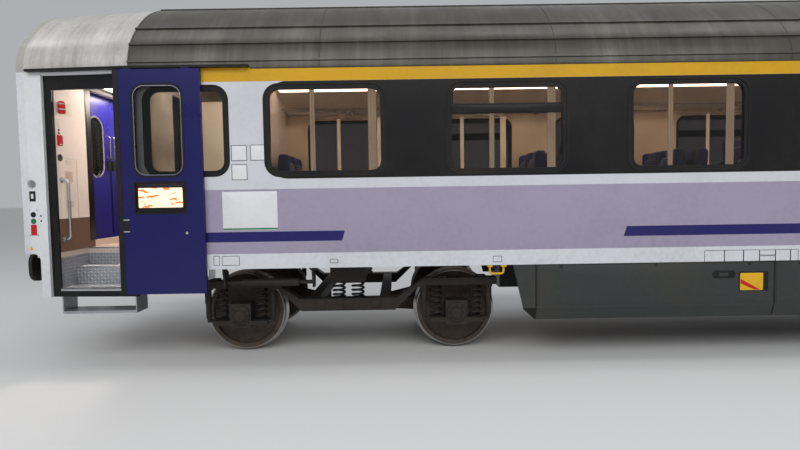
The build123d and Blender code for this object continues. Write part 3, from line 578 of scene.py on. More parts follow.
@dataclass(frozen=True)
class WheelSteel(Finish):
    """Wheelset steel: rust-brown webs and a bright running tread."""

    axle_z: float = 0.488
    tread: float = 0.46
    centres: tuple[float, ...] = ()
    bright: Colour = srgb(170, 168, 165)
    rusts: tuple[Colour, ...] = (srgb(50, 42, 36), srgb(78, 66, 56), srgb(68, 61, 55))

    def shade(self, graph: Graph) -> None:
        """Distance from the nearest axle decides between bright tread and rusty web.

        Args:
            graph: The graph that is filled.
        """
        x, z = graph.axis("X"), graph.axis("Z") - self.axle_z
        near = abs(x - self.centres[0])
        for centre in self.centres[1:]:
            near = near.least(abs(x - centre))
        radius = (near * near + z * z) ** 0.5
        bright = radius.above(self.tread - 0.012, 0.004)
        rust = graph.noise(14.0, 6.0, rough=0.6)
        stops = list(zip((0.3, 0.55, 0.8), self.rusts))
        brown = graph.add("ShaderNodeValToRGB", {"stops": stops}, {0: rust})
        graph.put(
            Base_Color=graph.mix(bright, brown, self.bright),
            Metallic=bright * 0.9,
            Roughness=0.78 - bright * 0.5,
        )
        graph.bump(rust, 0.002)


@dataclass(frozen=True)
class Glow(Finish):
    """A lit panel or lamp."""

    strength: float = 1.0

    def shade(self, graph: Graph) -> None:
        """Even light with a faint grid of cells.

        Args:
            graph: The graph that is filled.
        """
        cells = graph.noise(55.0, 1.0)
        graph.put(
            Base_Color=self.colour,
            Roughness=self.rough,
            Emission_Color=graph.scale_colour(self.colour, cells * 0.5 + 0.8),
            Emission_Strength=self.strength,
        )


@dataclass(frozen=True)
class Display(Finish):
    """A lit display: rows of lamps, white where they are on and deep amber elsewhere."""

    strength: float = 1.0
    row: float = 0.0105
    lit: Colour = srgb(255, 236, 200)

    def shade(self, graph: Graph) -> None:
        """Light by blocks of a stretched noise, cut into rows by the height.

        Args:
            graph: The graph that is filled.
        """
        blocks = graph.ramp(graph.noise(24.0, 2.0, (0.4, 1.0, 1.3)), 0.39, 0.47)
        rows = (graph.axis("Z") * (2 * math.pi / self.row)).sine() * 0.15 + 0.85
        colour = graph.mix(blocks, self.colour, self.lit)
        graph.put(
            Base_Color=(0.02, 0.02, 0.02),
            Roughness=self.rough,
            Emission_Color=graph.scale_colour(colour, rows),
            Emission_Strength=self.strength,
        )


class Finishes(Enum):
    """Every finish of the coach."""

    SIDE = SidePaint("side_livery", srgb(160, 152, 174), 0.4, coat=0.08, grime=0.12, low_dirt=0.18)
    WHITE = Finish("pillar_white", srgb(222, 223, 226), 0.38, coat=0.1, grime=0.10, low_dirt=0.2)
    ROOF = RoofPaint("roof_silver", srgb(120, 118, 108), 0.36, 0.35, grime=0.35, grain=0.0006, shine=0.5)
    END = EndPaint("end_wall_white", srgb(216, 218, 222), 0.4, grime=0.2, low_dirt=0.25)
    TREAD = Finish("tread_bright", srgb(206, 208, 213), 0.34, 0.5, grime=0.15)
    # The domes are the roof's metal coloured far lighter: painted highlight of the lamps on the curved
    # ends.
    DOME = RoofPaint(
        "dome_silver", srgb(180, 178, 172), 0.34, 0.35, grime=0.25, grain=0.0006, shine=0.5,
        dark=srgb(150, 148, 142), plain=srgb(198, 196, 190), light=srgb(226, 224, 218),
    )
    SEAM = Finish("roof_seam", srgb(62, 60, 54), 0.5, 0.2, grime=0.4)
    DOOR = Finish("door_blue", srgb(22, 24, 86), 0.32, coat=0.05, grime=0.08, grain=0.00005, shine=0.25)
    INNER_DOOR = Finish("inner_door_blue", srgb(40, 36, 124), 0.32, coat=0.1, grime=0.06, shine=0.3)
    FRAME = Finish("frame_black", srgb(17, 17, 19), 0.4, grime=0.15)
    RUBBER = Finish("seal_rubber", srgb(22, 22, 23), 0.62, grime=0.3, grain=0.0004)
    LINING = Lining("lining_cream", srgb(244, 231, 220), 0.42, grime=0.06)
    CEILING = Finish("ceiling_cream", srgb(228, 220, 202), 0.5, grime=0.05)
    FLOOR = Finish("floor_vinyl", srgb(214, 196, 182), 0.5, grime=0.25, grain=0.0002)
    PLATE = Finish("chequer_metal", srgb(168, 170, 176), 0.36, metallic=0.75, grime=0.3)
    STEEL = Finish(
        "underframe_dark", srgb(34, 32, 30), 0.6, grime=0.5, grime_colour=srgb(58, 50, 42),
        low_dirt=0.2, grain=0.0008,
    )
    IRON = Finish("coupling_iron", srgb(52, 46, 40), 0.55, metallic=0.5, grime=0.6, grain=0.0012)
    CASE = Finish("case_grey", srgb(50, 56, 58), 0.45, grime=0.3, low_dirt=0.3)
    YELLOW = Finish("safety_yellow", srgb(222, 172, 34), 0.4, grime=0.2)
    LAMP_RED = Finish("lamp_red", srgb(120, 14, 12), 0.15, coat=1.0, grime=0.05)
    SEAT_FIRST = Woven("seat_first_cloth", srgb(40, 50, 96), 0.9)
    SEAT_SECOND = Woven("seat_second_cloth", srgb(54, 66, 92), 0.9)
    # The curtains glow: painted light that stands in for the saloon lamps shining on the cloth.
    CURTAIN = Woven("curtain_cloth", srgb(226, 208, 178), 0.9, second=srgb(206, 186, 154), glow=0.8)
    LAMINATE = Finish("table_laminate", srgb(182, 172, 158), 0.4, grime=0.08)
    BRIGHT = Finish("brushed_bright", srgb(186, 187, 188), 0.28, metallic=0.95, grime=0.1)
    BOGIE = Finish(
        "bogie_paint", srgb(38, 35, 32), 0.6, grime=0.6, grime_colour=srgb(60, 51, 42),
        low_dirt=0.2, grain=0.001,
    )
    SPRING = Finish("spring_steel", srgb(40, 40, 42), 0.5, metallic=0.3, grime=0.6)
    GLASS = Glass("pane_clear", (0.3, 0.34, 0.34), 0.04)
    WHEEL = WheelSteel("wheel_steel", srgb(78, 66, 56), centres=(-9.85, -7.35, 7.35, 9.85))
    AMBER = Display("display_amber", srgb(255, 112, 40), 0.4, strength=1.6)
    LIGHT = Glow("light_strip", srgb(255, 238, 216), 0.4, strength=14.0)
    LAMP = Glow("vestibule_light", srgb(255, 242, 232), 0.4, strength=20.0)
    GREEN = Finish("button_green", srgb(24, 120, 70), 0.3, grime=0.05)
    RED = Finish("box_red", srgb(190, 30, 28), 0.35, grime=0.1)


FINISHED_NODES: dict[Finishes, str] = {
    Finishes.SIDE: "side_wall_near side_wall_far",
    Finishes.WHITE: "corner_pillars",
    Finishes.END: "end_walls",
    Finishes.FRAME: "door_frames door_guide_rails",
    Finishes.DOOR: "entrance_doors_closed entrance_door_open",
    Finishes.GLASS: "leaf_glass window_panes vestibule_door_a vestibule_door_b",
    Finishes.RUBBER: "window_frames gangway_tubes",
    Finishes.ROOF: "roof_crown roof_haunches",
    Finishes.DOME: "roof_domes",
    Finishes.LINING: "vestibule_linings partitions",
    Finishes.CEILING: "ceiling",
    Finishes.FLOOR: "floors",
    Finishes.PLATE: "entrance_steps footplate_a footplate_b",
    Finishes.STEEL: "underframe air_tanks buffers yaw_dampers",
    Finishes.IRON: "draw_gear",
    Finishes.CASE: "equipment_cases skirt_fairings",
    Finishes.YELLOW: "lifting_handles",
    Finishes.LAMP_RED: "tail_lamps",
    Finishes.SEAT_FIRST: "first_class_seats",
    Finishes.SEAT_SECOND: "second_class_seats",
    Finishes.CURTAIN: "curtains",
    Finishes.LAMINATE: "tables",
    Finishes.BRIGHT: "luggage_racks handrails",
    Finishes.SPRING: "coil_springs_a coil_springs_b",
    Finishes.WHEEL: "wheelset_a1 wheelset_a2 wheelset_b1 wheelset_b2",
    Finishes.BOGIE: "bogie_frame_a bogie_bolster_a axle_boxes_a brake_gear_a "
    "bogie_frame_b bogie_bolster_b axle_boxes_b brake_gear_b",
    Finishes.INNER_DOOR: "gangway_door_a_near gangway_door_a_far "
    "gangway_door_b_near gangway_door_b_far",
}
FINISH_OF: dict[str, Finishes] = {
    node: finish for finish, nodes in FINISHED_NODES.items() for node in nodes.split()
}


def rounded(width: float, height: float, radius: float, steps: int = 5) -> Array:
    """Rounded rectangle as four quarter arcs round its inner corners, 4 * steps points.

    Args:
        width: Whole width.
        height: Whole height.
        radius: Radius of the corners.
        steps: Points on each corner.

    Returns:
        Points round the origin, shaped (4 * steps, 2).
    """
    turns = np.arange(4)[:, None] * np.pi / 2 + np.linspace(0.0, np.pi / 2, steps)
    inner = np.array([[1, 1], [-1, 1], [-1, -1], [1, -1]]) * [width / 2 - radius, height / 2 - radius]
    arcs = np.stack([np.cos(turns), np.sin(turns)], -1) * radius
    return (inner[:, None] + arcs).reshape(-1, 2)


def circle(radius: float, sides: int = 16) -> Array:
    """Points at equal angles on a circle."""
    turn = np.arange(sides) * 2 * np.pi / sides
    return np.stack([np.cos(turn), np.sin(turn)], -1) * radius


def triangle(radius: float, centre: Pair) -> Array:
    """Upright equilateral triangle on a circle round its centre."""
    return circle(radius, 3) @ np.array([[0.0, 1.0], [-1.0, 0.0]]) + centre


def straight(first: object, last: object) -> Array:
    """Three points on the straight line from the first point to the last."""
    return np.linspace(first, last, 3)


def grid(x: object, y: object, z: object) -> Array:
    """Every point whose coordinates are taken from three rows of numbers."""
    return np.stack(np.meshgrid(x, y, z, indexing="ij"), -1).reshape(-1, 3)


def bay_middles() -> Array:
    """X of the middles of the saloon's windows."""
    return (np.arange(BAYS) - (BAYS - 1) / 2) * BAY


def bent(points: object, radius: float, steps: int = 7) -> Array:
    """Round the corners of a path: each becomes a quadratic curve a(1-t)^2 + 2bt(1-t) + ct^2.

    Args:
        points: The path's corners.
        radius: How far from each corner its curve starts and ends.
        steps: Points on each curve.

    Returns:
        The rounded path.
    """
    points = np.asarray(points, float)
    before = points[:-2] - points[1:-1]
    after = points[2:] - points[1:-1]
    start = points[1:-1] + before / np.linalg.norm(before, axis=1, keepdims=True) * radius
    stop = points[1:-1] + after / np.linalg.norm(after, axis=1, keepdims=True) * radius
    t = np.linspace(0.0, 1.0, steps)[None, :, None]
    curve = start[:, None] * (1 - t) ** 2 + 2 * points[1:-1, None] * t * (1 - t) + stop[:, None] * t**2
    return np.vstack([points[:1], curve.reshape(-1, 3), points[-1:]])


def crowned(size: Triple, power: float, rings: int = 11, sides: int = 20) -> Array:
    """Rings of a superellipsoid: x = a C(p) C(q), y = b C(p) S(q) and z = c S(p).

    C(t) = sign(cos t) |cos t|^power and S(t) = sign(sin t) |sin t|^power.

    Args:
        size: Its whole size along X, Y and Z.
        power: Roundness: 1 is an ellipsoid, and near 0 a box.
        rings: Rings from the lowest to the highest.
        sides: Points on a ring.

    Returns:
        Points round the origin, shaped (rings, sides, 3).
    """
    rise = np.linspace(-np.pi / 2 + 0.06, np.pi / 2 - 0.06, rings)[:, None]
    turn = np.arange(sides)[None, :] * 2 * np.pi / sides
    (cos_p, sin_p), (cos_q, sin_q) = (
        [np.sign(wave) * np.abs(wave) ** power for wave in (np.cos(t), np.sin(t))]
        for t in (rise, turn)
    )
    shape = np.stack(np.broadcast_arrays(cos_p * cos_q, cos_p * sin_q, sin_p), -1)
    return shape * np.array(size) / 2


@dataclass(frozen=True)
class Patch:
    """A flat place to build on: an origin with directions right, up and outwards."""

    origin: Triple
    right: Triple
    up: Triple
    out: Triple

    def put(self, flat: object, level: Array | float = 0.0) -> Array:
        """Points of the row frame: origin + u * right + v * up + level * out.

        Args:
            flat: Pairs u and v on the patch.
            level: Distance out of the patch, one for all the points or one for each.

        Returns:
            Points with a third coordinate in place of the pairs.
        """
        flat = np.asarray(flat, float)
        level = np.broadcast_to(np.asarray(level, float), flat.shape[:-1])
        local = np.concatenate([flat, level[..., None]], -1)
        return local @ np.array([self.right, self.up, self.out]) + np.array(self.origin)

    def rings(
        self, centre: Pair, size: Pair, radius: float, profile: Profile,
        steps: int = 5, least: float = 1e-4,
    ) -> Array:
        """Rounded rectangles, one for each inset and level of a profile.

        Args:
            centre: Their middle on the patch.
            size: Width and height without an inset.
            radius: Corner radius without an inset.
            profile: Inset and level of each ring.
            steps: Points on each corner.
            least: Least corner radius.

        Returns:
            Points shaped (rings, 4 * steps, 3).
        """
        rings = [
            self.put(
                rounded(size[0] - 2 * inset, size[1] - 2 * inset, max(radius - inset, least), steps)
                + centre,
                level,
            )
            for inset, level in profile
        ]
        return np.stack(rings)


class Surface:
    """Collects closed shells as whole arrays and makes one mesh object of them."""

    def __init__(self) -> None:
        """Start empty."""
        self.points: list[Array] = []
        self.quads: list[Array] = []
        self.fans: list[Array] = []
        self.count = 0

    @classmethod
    def several(cls, count: int) -> "list[Surface]":
        """Several empty surfaces."""
        return [cls() for _ in range(count)]

    def shells(self, sections: Array, loop: bool = False) -> "Surface":
        """Add shells, each made of n closed rings of m points.

        Point j of a ring meets points j and j + 1 of the next ring. Without loop, fans round the
        means of the end rings close it. A shell whose signed volume, the sum of a . (b x c) over
        its triangles, is below zero is turned to face outwards.

        Args:
            sections: Points, shaped (..., n, m, 3) for the shells, or (n, m, 3) for one.
            loop: Whether the last ring meets the first.

        Returns:
            This surface.
        """
        sections = sections.reshape(-1, *sections.shape[-3:])
        batch, n, m = sections.shape[:3]
        i, j = np.meshgrid(np.arange(n if loop else n - 1), np.arange(m), indexing="ij")
        ahead, over = (i + 1) % n, (j + 1) % m
        quads = np.stack([i * m + j, i * m + over, ahead * m + over, ahead * m + j], -1).reshape(-1, 4)
        flat = sections.reshape(batch, n * m, 3)
        fans = np.empty((0, 3), int)
        if not loop:
            flat = np.concatenate([flat, sections[:, [0, -1]].mean(2)], 1)
            k = np.arange(m)
            low = np.stack([np.full(m, n * m), (k + 1) % m, k], -1)
            high = np.stack([np.full(m, n * m + 1), (n - 1) * m + k, (n - 1) * m + (k + 1) % m], -1)
            fans = np.vstack([low, high])
        halves = np.vstack([quads[:, [0, 1, 2]], quads[:, [0, 2, 3]], fans])
        corner = (flat - flat.mean(1, keepdims=True))[:, halves]
        volume = np.einsum("bij,bij->b", corner[:, :, 0], np.cross(corner[:, :, 1], corner[:, :, 2]))
        start = self.count + np.arange(batch)[:, None, None] * flat.shape[1]
        for store, faces in ((self.quads, quads), (self.fans, fans)):
            placed = faces[None] + start
            placed = np.where((volume < 0)[:, None, None], placed[..., ::-1], placed)
            store.append(placed.reshape(-1, faces.shape[1]))
        self.points.append(flat.reshape(-1, 3))
        self.count += flat.shape[0] * flat.shape[1]
        return self

    def prism(self, patch: Patch, outline: object, low: float, high: float) -> "Surface":
        """Add a flat outline of a patch from level low to level high."""
        return self.shells(np.stack([patch.put(outline, level) for level in (low, high)]))

    def plate(
        self, patch: Patch, centre: Pair, size: Pair,
        low: float, high: float, radius: float = 0.004, bevel: float = 0.002,
    ) -> "Surface":
        """Add a rounded rectangle from level low to level high, its upper edge bevelled.

        Args:
            patch: The flat place that it lies on.
            centre: Its middle on the patch.
            size: Its width and height.
            low: Level of its lower face.
            high: Level of its upper face.
            radius: Radius of its corners.
            bevel: Width of the bevel.

        Returns:
            This surface.
        """
        slant = 0.3 * bevel
        levels = ((0.0, low), (0.0, high - bevel), (slant, high - slant), (bevel, high))
        return self.shells(patch.rings(centre, size, radius, levels))

    def frame(
        self, patch: Patch, centre: Pair, size: Pair,
        radius: float, profile: Profile, steps: int = 7,
    ) -> "Surface":
        """Add a ring whose profile, of insets and levels, runs round a rounded rectangle.

        Args:
            patch: The flat place that it lies on.
            centre: Its middle on the patch.
            size: Width and height of the rectangle.
            radius: Radius of the rectangle's corners.
            profile: Inset and level of each point of the profile.
            steps: Points on each corner.

        Returns:
            This surface.
        """
        rings = patch.rings(centre, size, radius, profile, steps, 1e-3)
        return self.shells(rings.swapaxes(0, 1), loop=True)

    def tube(self, path: Array, radius: float, sides: int = 10, aim: Triple = Z_AXIS) -> "Surface":
        """Add a round bar along a path: ring = p + r cos(a) n + r sin(a) b, n = t x aim, b = n x t.

        Args:
            path: The middles of its rings, or such a path for each of several bars.
            radius: Its radius.
            sides: Points on a ring.
            aim: A direction that the path never follows.

        Returns:
            This surface.
        """
        tangent = np.gradient(path, axis=-2)
        across = np.cross(tangent, np.array(aim))
        across /= np.linalg.norm(across, axis=-1, keepdims=True)
        over = np.cross(across, tangent)
        over /= np.linalg.norm(over, axis=-1, keepdims=True)
        ring = circle(radius, sides)
        around = ring[:, :1] * across[..., None, :] + ring[:, 1:] * over[..., None, :]
        return self.shells(path[..., None, :] + around)

    def turned(self, centres: Array, axis: Triple, profile: Profile, sides: int = 18) -> "Surface":
        """Add turned shapes: rings of the profile's radii at its distances along the axis.

        Args:
            centres: Where they stand.
            axis: The way that they point.
            profile: Distance along the axis and radius of each ring.
            sides: Points on a ring.

        Returns:
            This surface.
        """
        aim = np.array(axis, float)
        side = np.cross(aim, np.roll(np.abs(aim), 1) + 1e-9)
        side /= np.linalg.norm(side)
        other = np.cross(aim, side)
        along, radius = np.array(profile, float).T
        ring = circle(1.0, sides)
        spokes = ring[:, :1] * side + ring[:, 1:] * other
        rings = along[:, None, None] * aim + radius[:, None, None] * spokes
        return self.shells(centres.reshape(-1, 1, 1, 3) + rings)

    def block(self, centres: Array, size: Triple, edge: float = 0.004) -> "Surface":
        """Add upright boxes with rounded edges, each centred on a point.

        Args:
            centres: Their middles.
            size: Their size along X, Y and Z.
            edge: Radius of their edges.

        Returns:
            This surface.
        """
        levels = ((0.0, edge), (0.3 * edge, 0.3 * edge), (edge, 0.0))
        low = [(-size[2] / 2 + rise, inset) for rise, inset in levels]
        high = [(size[2] / 2 - rise, inset) for rise, inset in levels[::-1]]
        rings = []
        for level, inset in low + high:
            flat = rounded(size[0] - 2 * inset, size[1] - 2 * inset, max(edge - inset, 1e-4) + edge, 3)
            rings.append(np.insert(flat, 2, level, axis=1))
        return self.shells(centres.reshape(-1, 1, 1, 3) + np.stack(rings))

    def make(
        self, name: str, finish: Finishes, slot: str, body: str = BODY, angle: float = 40.0
    ) -> bpy.types.Object:
        """Make the mesh object.

        Args:
            name: Name of the piece.
            finish: Its finish.
            slot: Not used.
            body: The body that it rides on.
            angle: Edges sharper than this many degrees stay sharp.

        Returns:
            The new object.
        """
        quads, fans = np.vstack(self.quads), np.vstack(self.fans)
        starts = np.concatenate([np.arange(len(quads)) * 4, quads.size + np.arange(len(fans)) * 3])
        corner = np.concatenate([quads.ravel(), fans.ravel()])
        mesh = bpy.data.meshes.new(name)
        mesh.vertices.add(self.count)
        mesh.vertices.foreach_set("co", np.vstack(self.points).ravel())
        mesh.loops.add(len(corner))
        mesh.loops.foreach_set("vertex_index", corner.astype(np.int32))
        mesh.polygons.add(len(starts))
        mesh.polygons.foreach_set("loop_start", starts.astype(np.int32))
        mesh.polygons.foreach_set("use_smooth", np.ones(len(starts), bool))
        mesh.update(calc_edges=True)
        mesh.set_sharp_from_angle(angle=math.radians(angle))
        mesh.materials.append(finish.value.material())
        piece = bpy.data.objects.new(name, mesh)
        bpy.context.scene.collection.objects.link(piece)
        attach(piece, body)
        return piece


def side_patch(side: Side, half: float = HALF_WIDTH) -> Patch:
    """The outer face of a side, measured by X and Z."""
    return Patch((0.0, side.value * half, 0.0), X_AXIS, Z_AXIS, (0.0, side.value, 0.0))


def taper_patch(side: Side, end: End, depth: float = 0.0) -> Patch:
    """The narrowing face beside an entrance, measured by distance from the middle and Z.

    Args:
        side: The side of the coach.
        end: The end of the coach.
        depth: How far inside the face the patch lies.

    Returns:
        The patch.
    """
    root = HALF_WIDTH + TAPER_START * TAPER - depth
    along = (end.value, -side.value * TAPER, 0.0)
    return Patch((0.0, side.value * root, 0.0), along, Z_AXIS, (0.0, side.value, 0.0))


@dataclass
class Windows:
    """Rubber beads, dark inner trims and hopper sashes of the windows.

    The end windows are given by width, height and the height of their middles.
    """

    size: Pair = (1.29, 0.97)
    middle: float = 2.563
    corner: float = 0.15
    end_x: float = 10.26
    near_end: Triple = (0.89, 0.95, 2.567)
    far_end: Triple = (0.6, 0.6, 2.628)
    transom: Pair = (2.710, 2.800)
    sash_inset: float = 0.05
    sash_corner: float = 0.03
    bar_inset: float = 0.045
    lap: float = 0.01
    bead: Profile = (
        (-0.016, -0.002), (-0.013, 0.004), (-0.004, 0.007), (0.006, 0.004), (0.010, -0.004),
    )
    trim: Profile = ((0.040, -0.005), (0.041, -0.001), (0.050, -0.001), (0.052, -0.010))
    sash: Profile = ((0.0, -0.010), (0.0, -0.002), (0.022, -0.002), (0.024, -0.010))

    def build(self) -> None:
        """Make the three pieces."""
        beads, trims, sashes = Surface.several(3)
        low, high = self.transom
        top = self.middle + self.size[1] / 2 - self.sash_inset
        bar = (self.size[0] - 2 * self.bar_inset, high - low)
        pane = (self.size[0] - 2 * self.sash_inset, top - high + self.lap)
        for side in Side:
            patch = side_patch(side)
            *end_size, end_z = self.near_end if side is Side.NEAR else self.far_end
            openings = [((x, self.middle), self.size) for x in bay_middles()]
            openings += [((end.value * self.end_x, end_z), end_size) for end in End]
            for centre, size in openings:
                beads.frame(patch, centre, size, self.corner, self.bead)
                trims.frame(patch, centre, size, self.corner, self.trim)
            for x in bay_middles()[1::2]:
                sashes.plate(patch, (x, (low + high) / 2), bar, -0.012, -0.001)
                sashes.frame(patch, (x, (top + high) / 2), pane, self.sash_corner, self.sash)
        beads.make("window_beads", Finishes.RUBBER, "rubber")
        trims.make("window_trims", Finishes.RUBBER, "rubber")
        sashes.make("hopper_sashes", Finishes.FRAME, "frame_black")


@dataclass
class Roof:
    """Seam straps over the roof, in steps along X with offsets, and gutters along its edges."""

    eaves: float = 3.228
    rise: float = 1.0
    haunch: float = 0.6
    seam_pitch: float = 2.52
    seams: int = 8
    edge: float = 10.84
    strap: Profile = ((-0.008, -0.004), (-0.006, 0.001), (0.006, 0.001), (0.008, -0.004))
    gutter_reach: float = 9.56
    gutter: Triple = (0.001, 3.226, 0.009)

    def arc(self, offset: float, steps: int = 40) -> Array:
        """Roof outline from one eaves line to the other: haunch arc, crown arc and haunch arc.

        Args:
            offset: How far outside the roof the outline runs.
            steps: Points on the crown arc.

        Returns:
            Pairs of Y and Z.
        """
        inner, drop = HALF_WIDTH - self.haunch, self.rise - self.haunch
        crown = (inner**2 + self.rise**2 - self.haunch**2) / (2 * drop)
        turn = math.atan2(inner, crown - self.rise)
        low = np.linspace(np.pi / 2, turn, steps // 3)
        high = np.linspace(turn, -turn, steps)[1:-1]
        hub = np.array([inner, self.eaves])
        haunch = hub + (self.haunch + offset) * np.stack([np.sin(low), np.cos(low)], -1)
        middle = np.array([0.0, self.eaves + self.rise - crown])
        top = middle + (crown + offset) * np.stack([np.sin(high), np.cos(high)], -1)
        return np.vstack([haunch, top, haunch[::-1] * [-1, 1]])

    def build(self) -> None:
        """Make the straps and the gutters."""
        straps, gutters = Surface.several(2)
        places = (np.arange(self.seams) - (self.seams - 1) / 2) * self.seam_pitch
        for x in (*places, -self.edge, self.edge):
            rings = [np.insert(self.arc(offset), 0, x + step, axis=1) for step, offset in self.strap]
            straps.shells(np.stack(rings, 1))
        proud, level, radius = self.gutter
        for side in Side:
            y = side.value * (HALF_WIDTH + proud)
            path = straight((-self.gutter_reach, y, level), (self.gutter_reach, y, level))
            gutters.tube(path, radius, 8)
        straps.make("roof_seam_straps", Finishes.SEAM, "roof_paint")
        gutters.make("roof_gutters", Finishes.ROOF, "roof_paint")


@dataclass
class EntranceLeaf:
    """Edge rubber, window ring, display, recessed handle and lock of one entrance door leaf.

    The window and the display are given by width, height and the height of their middles, and
    the grip and the lock by their distance from the leaf's middle and their height.
    """

    window: Triple = (0.50, 0.94, 2.574)
    window_corner: float = 0.11
    display: Triple = (0.54, 0.32, 1.863)
    lit: Pair = (0.47, 0.21)
    width: float = 0.92
    low: float = 0.828
    high: float = 3.218
    edge: Pair = (0.056, 0.03)
    grip: Pair = (0.37, 1.568)
    cup: Pair = (0.05, 0.125)
    bars: Pair = (1.505, 1.630)
    bar: Pair = (0.07, 0.012)
    lock: Pair = (-0.27, 1.482)
    slack: float = 0.004
    display_corner: float = 0.012
    lock_size: Pair = (0.03, 0.03)
    edge_form: Form = (-0.004, 0.0035)
    panel_form: Form = (-0.011, -0.005)
    lit_form: Form = (-0.006, -0.0042, 0.01, 0.0005)
    cup_form: Form = (-0.002, 0.0025, 0.012, 0.001)
    bar_form: Form = (-0.001, 0.004, 0.005, 0.002)
    lock_form: Form = (-0.002, 0.003, 0.0149, 0.001)
    seal: Profile = ((-0.030, -0.002), (-0.028, 0.002), (-0.010, 0.002), (-0.008, -0.002))
    ring: Profile = ((-0.004, -0.004), (-0.002, 0.0032), (0.003, 0.0032), (0.006, -0.010))
    bezel: Profile = ((-0.014, -0.002), (-0.012, 0.003), (0.004, 0.003), (0.008, -0.010))

    def build(self, parts: dict[str, Surface], patch: Patch, middle: float, lead: float) -> None:
        """Add the leaf's details to the shared surfaces.

        Args:
            parts: Surfaces by name: rubber, bright, panel, glow and dark.
            patch: The leaf's outer face.
            middle: Place of the leaf's middle along the patch.
            lead: Direction of its closing edge along the patch.
        """
        rubber, bright = parts["rubber"], parts["bright"]
        wide, inset = self.edge
        edge = (middle + lead * (self.width / 2 - inset), (self.low + self.high) / 2)
        rubber.plate(patch, edge, (wide, self.high - self.low - self.slack), *self.edge_form)
        *size, height = self.window
        rubber.frame(patch, (middle, height), size, self.window_corner, self.seal)
        bright.frame(patch, (middle, height), size, self.window_corner, self.ring)
        *size, height = self.display
        place = (middle, height)
        rubber.frame(patch, place, size, self.display_corner, self.bezel)
        panel = (size[0] - self.slack, size[1] - self.slack)
        parts["panel"].plate(patch, place, panel, *self.panel_form)
        parts["glow"].plate(patch, place, self.lit, *self.lit_form)
        grip = middle + lead * self.grip[0]
        parts["dark"].plate(patch, (grip, self.grip[1]), self.cup, *self.cup_form)
        for height in self.bars:
            bright.plate(patch, (grip, height), self.bar, *self.bar_form)
        lock = (middle + lead * self.lock[0], self.lock[1])
        bright.plate(patch, lock, self.lock_size, *self.lock_form)


@dataclass
class EntranceLeaves:
    """The details of all four entrance leaves, with the strips of the open doorway."""

    open_middle: float = -10.536
    open_face: float = 1.4995
    closed_middle: float = 11.35
    recess: float = 0.002
    head: tuple[Pair, Pair] = ((11.347, 3.211), (0.955, 0.030))
    head_levels: Pair = (-0.043, 0.001)
    sill: tuple[Pair, Pair] = ((11.345, 0.865), (0.79, 0.026))
    sill_levels: Pair = (-0.046, -0.038)
    leaf: EntranceLeaf = field(default_factory=EntranceLeaf)

    def build(self) -> None:
        """Make one piece for each finish."""
        parts = {name: Surface() for name in ("rubber", "bright", "panel", "glow", "dark")}
        self.leaf.build(parts, side_patch(Side.NEAR, self.open_face), self.open_middle, -1.0)
        for side, end in EVERY_CORNER:
            if (side, end) != (Side.NEAR, End.A):
                self.leaf.build(parts, taper_patch(side, end, self.recess), self.closed_middle, 1.0)
        doorway = taper_patch(Side.NEAR, End.A)
        strip = Surface().plate(doorway, *self.head, *self.head_levels, 0.003)
        strip.make("entrance_head_strip", Finishes.WHITE, "grey_paint")
        strip = Surface().plate(doorway, *self.sill, *self.sill_levels, 0.003)
        strip.make("entrance_sill_strip", Finishes.BRIGHT, "bright_metal")
        parts["rubber"].make("leaf_rubbers", Finishes.RUBBER, "rubber")
        parts["bright"].make("leaf_bright_rings", Finishes.BRIGHT, "bright_metal")
        parts["panel"].make("leaf_display_panels", Finishes.FRAME, "glass")
        parts["glow"].make("leaf_display_glow", Finishes.AMBER, "glass")
        parts["dark"].make("leaf_handle_cups", Finishes.RUBBER, "frame_black")


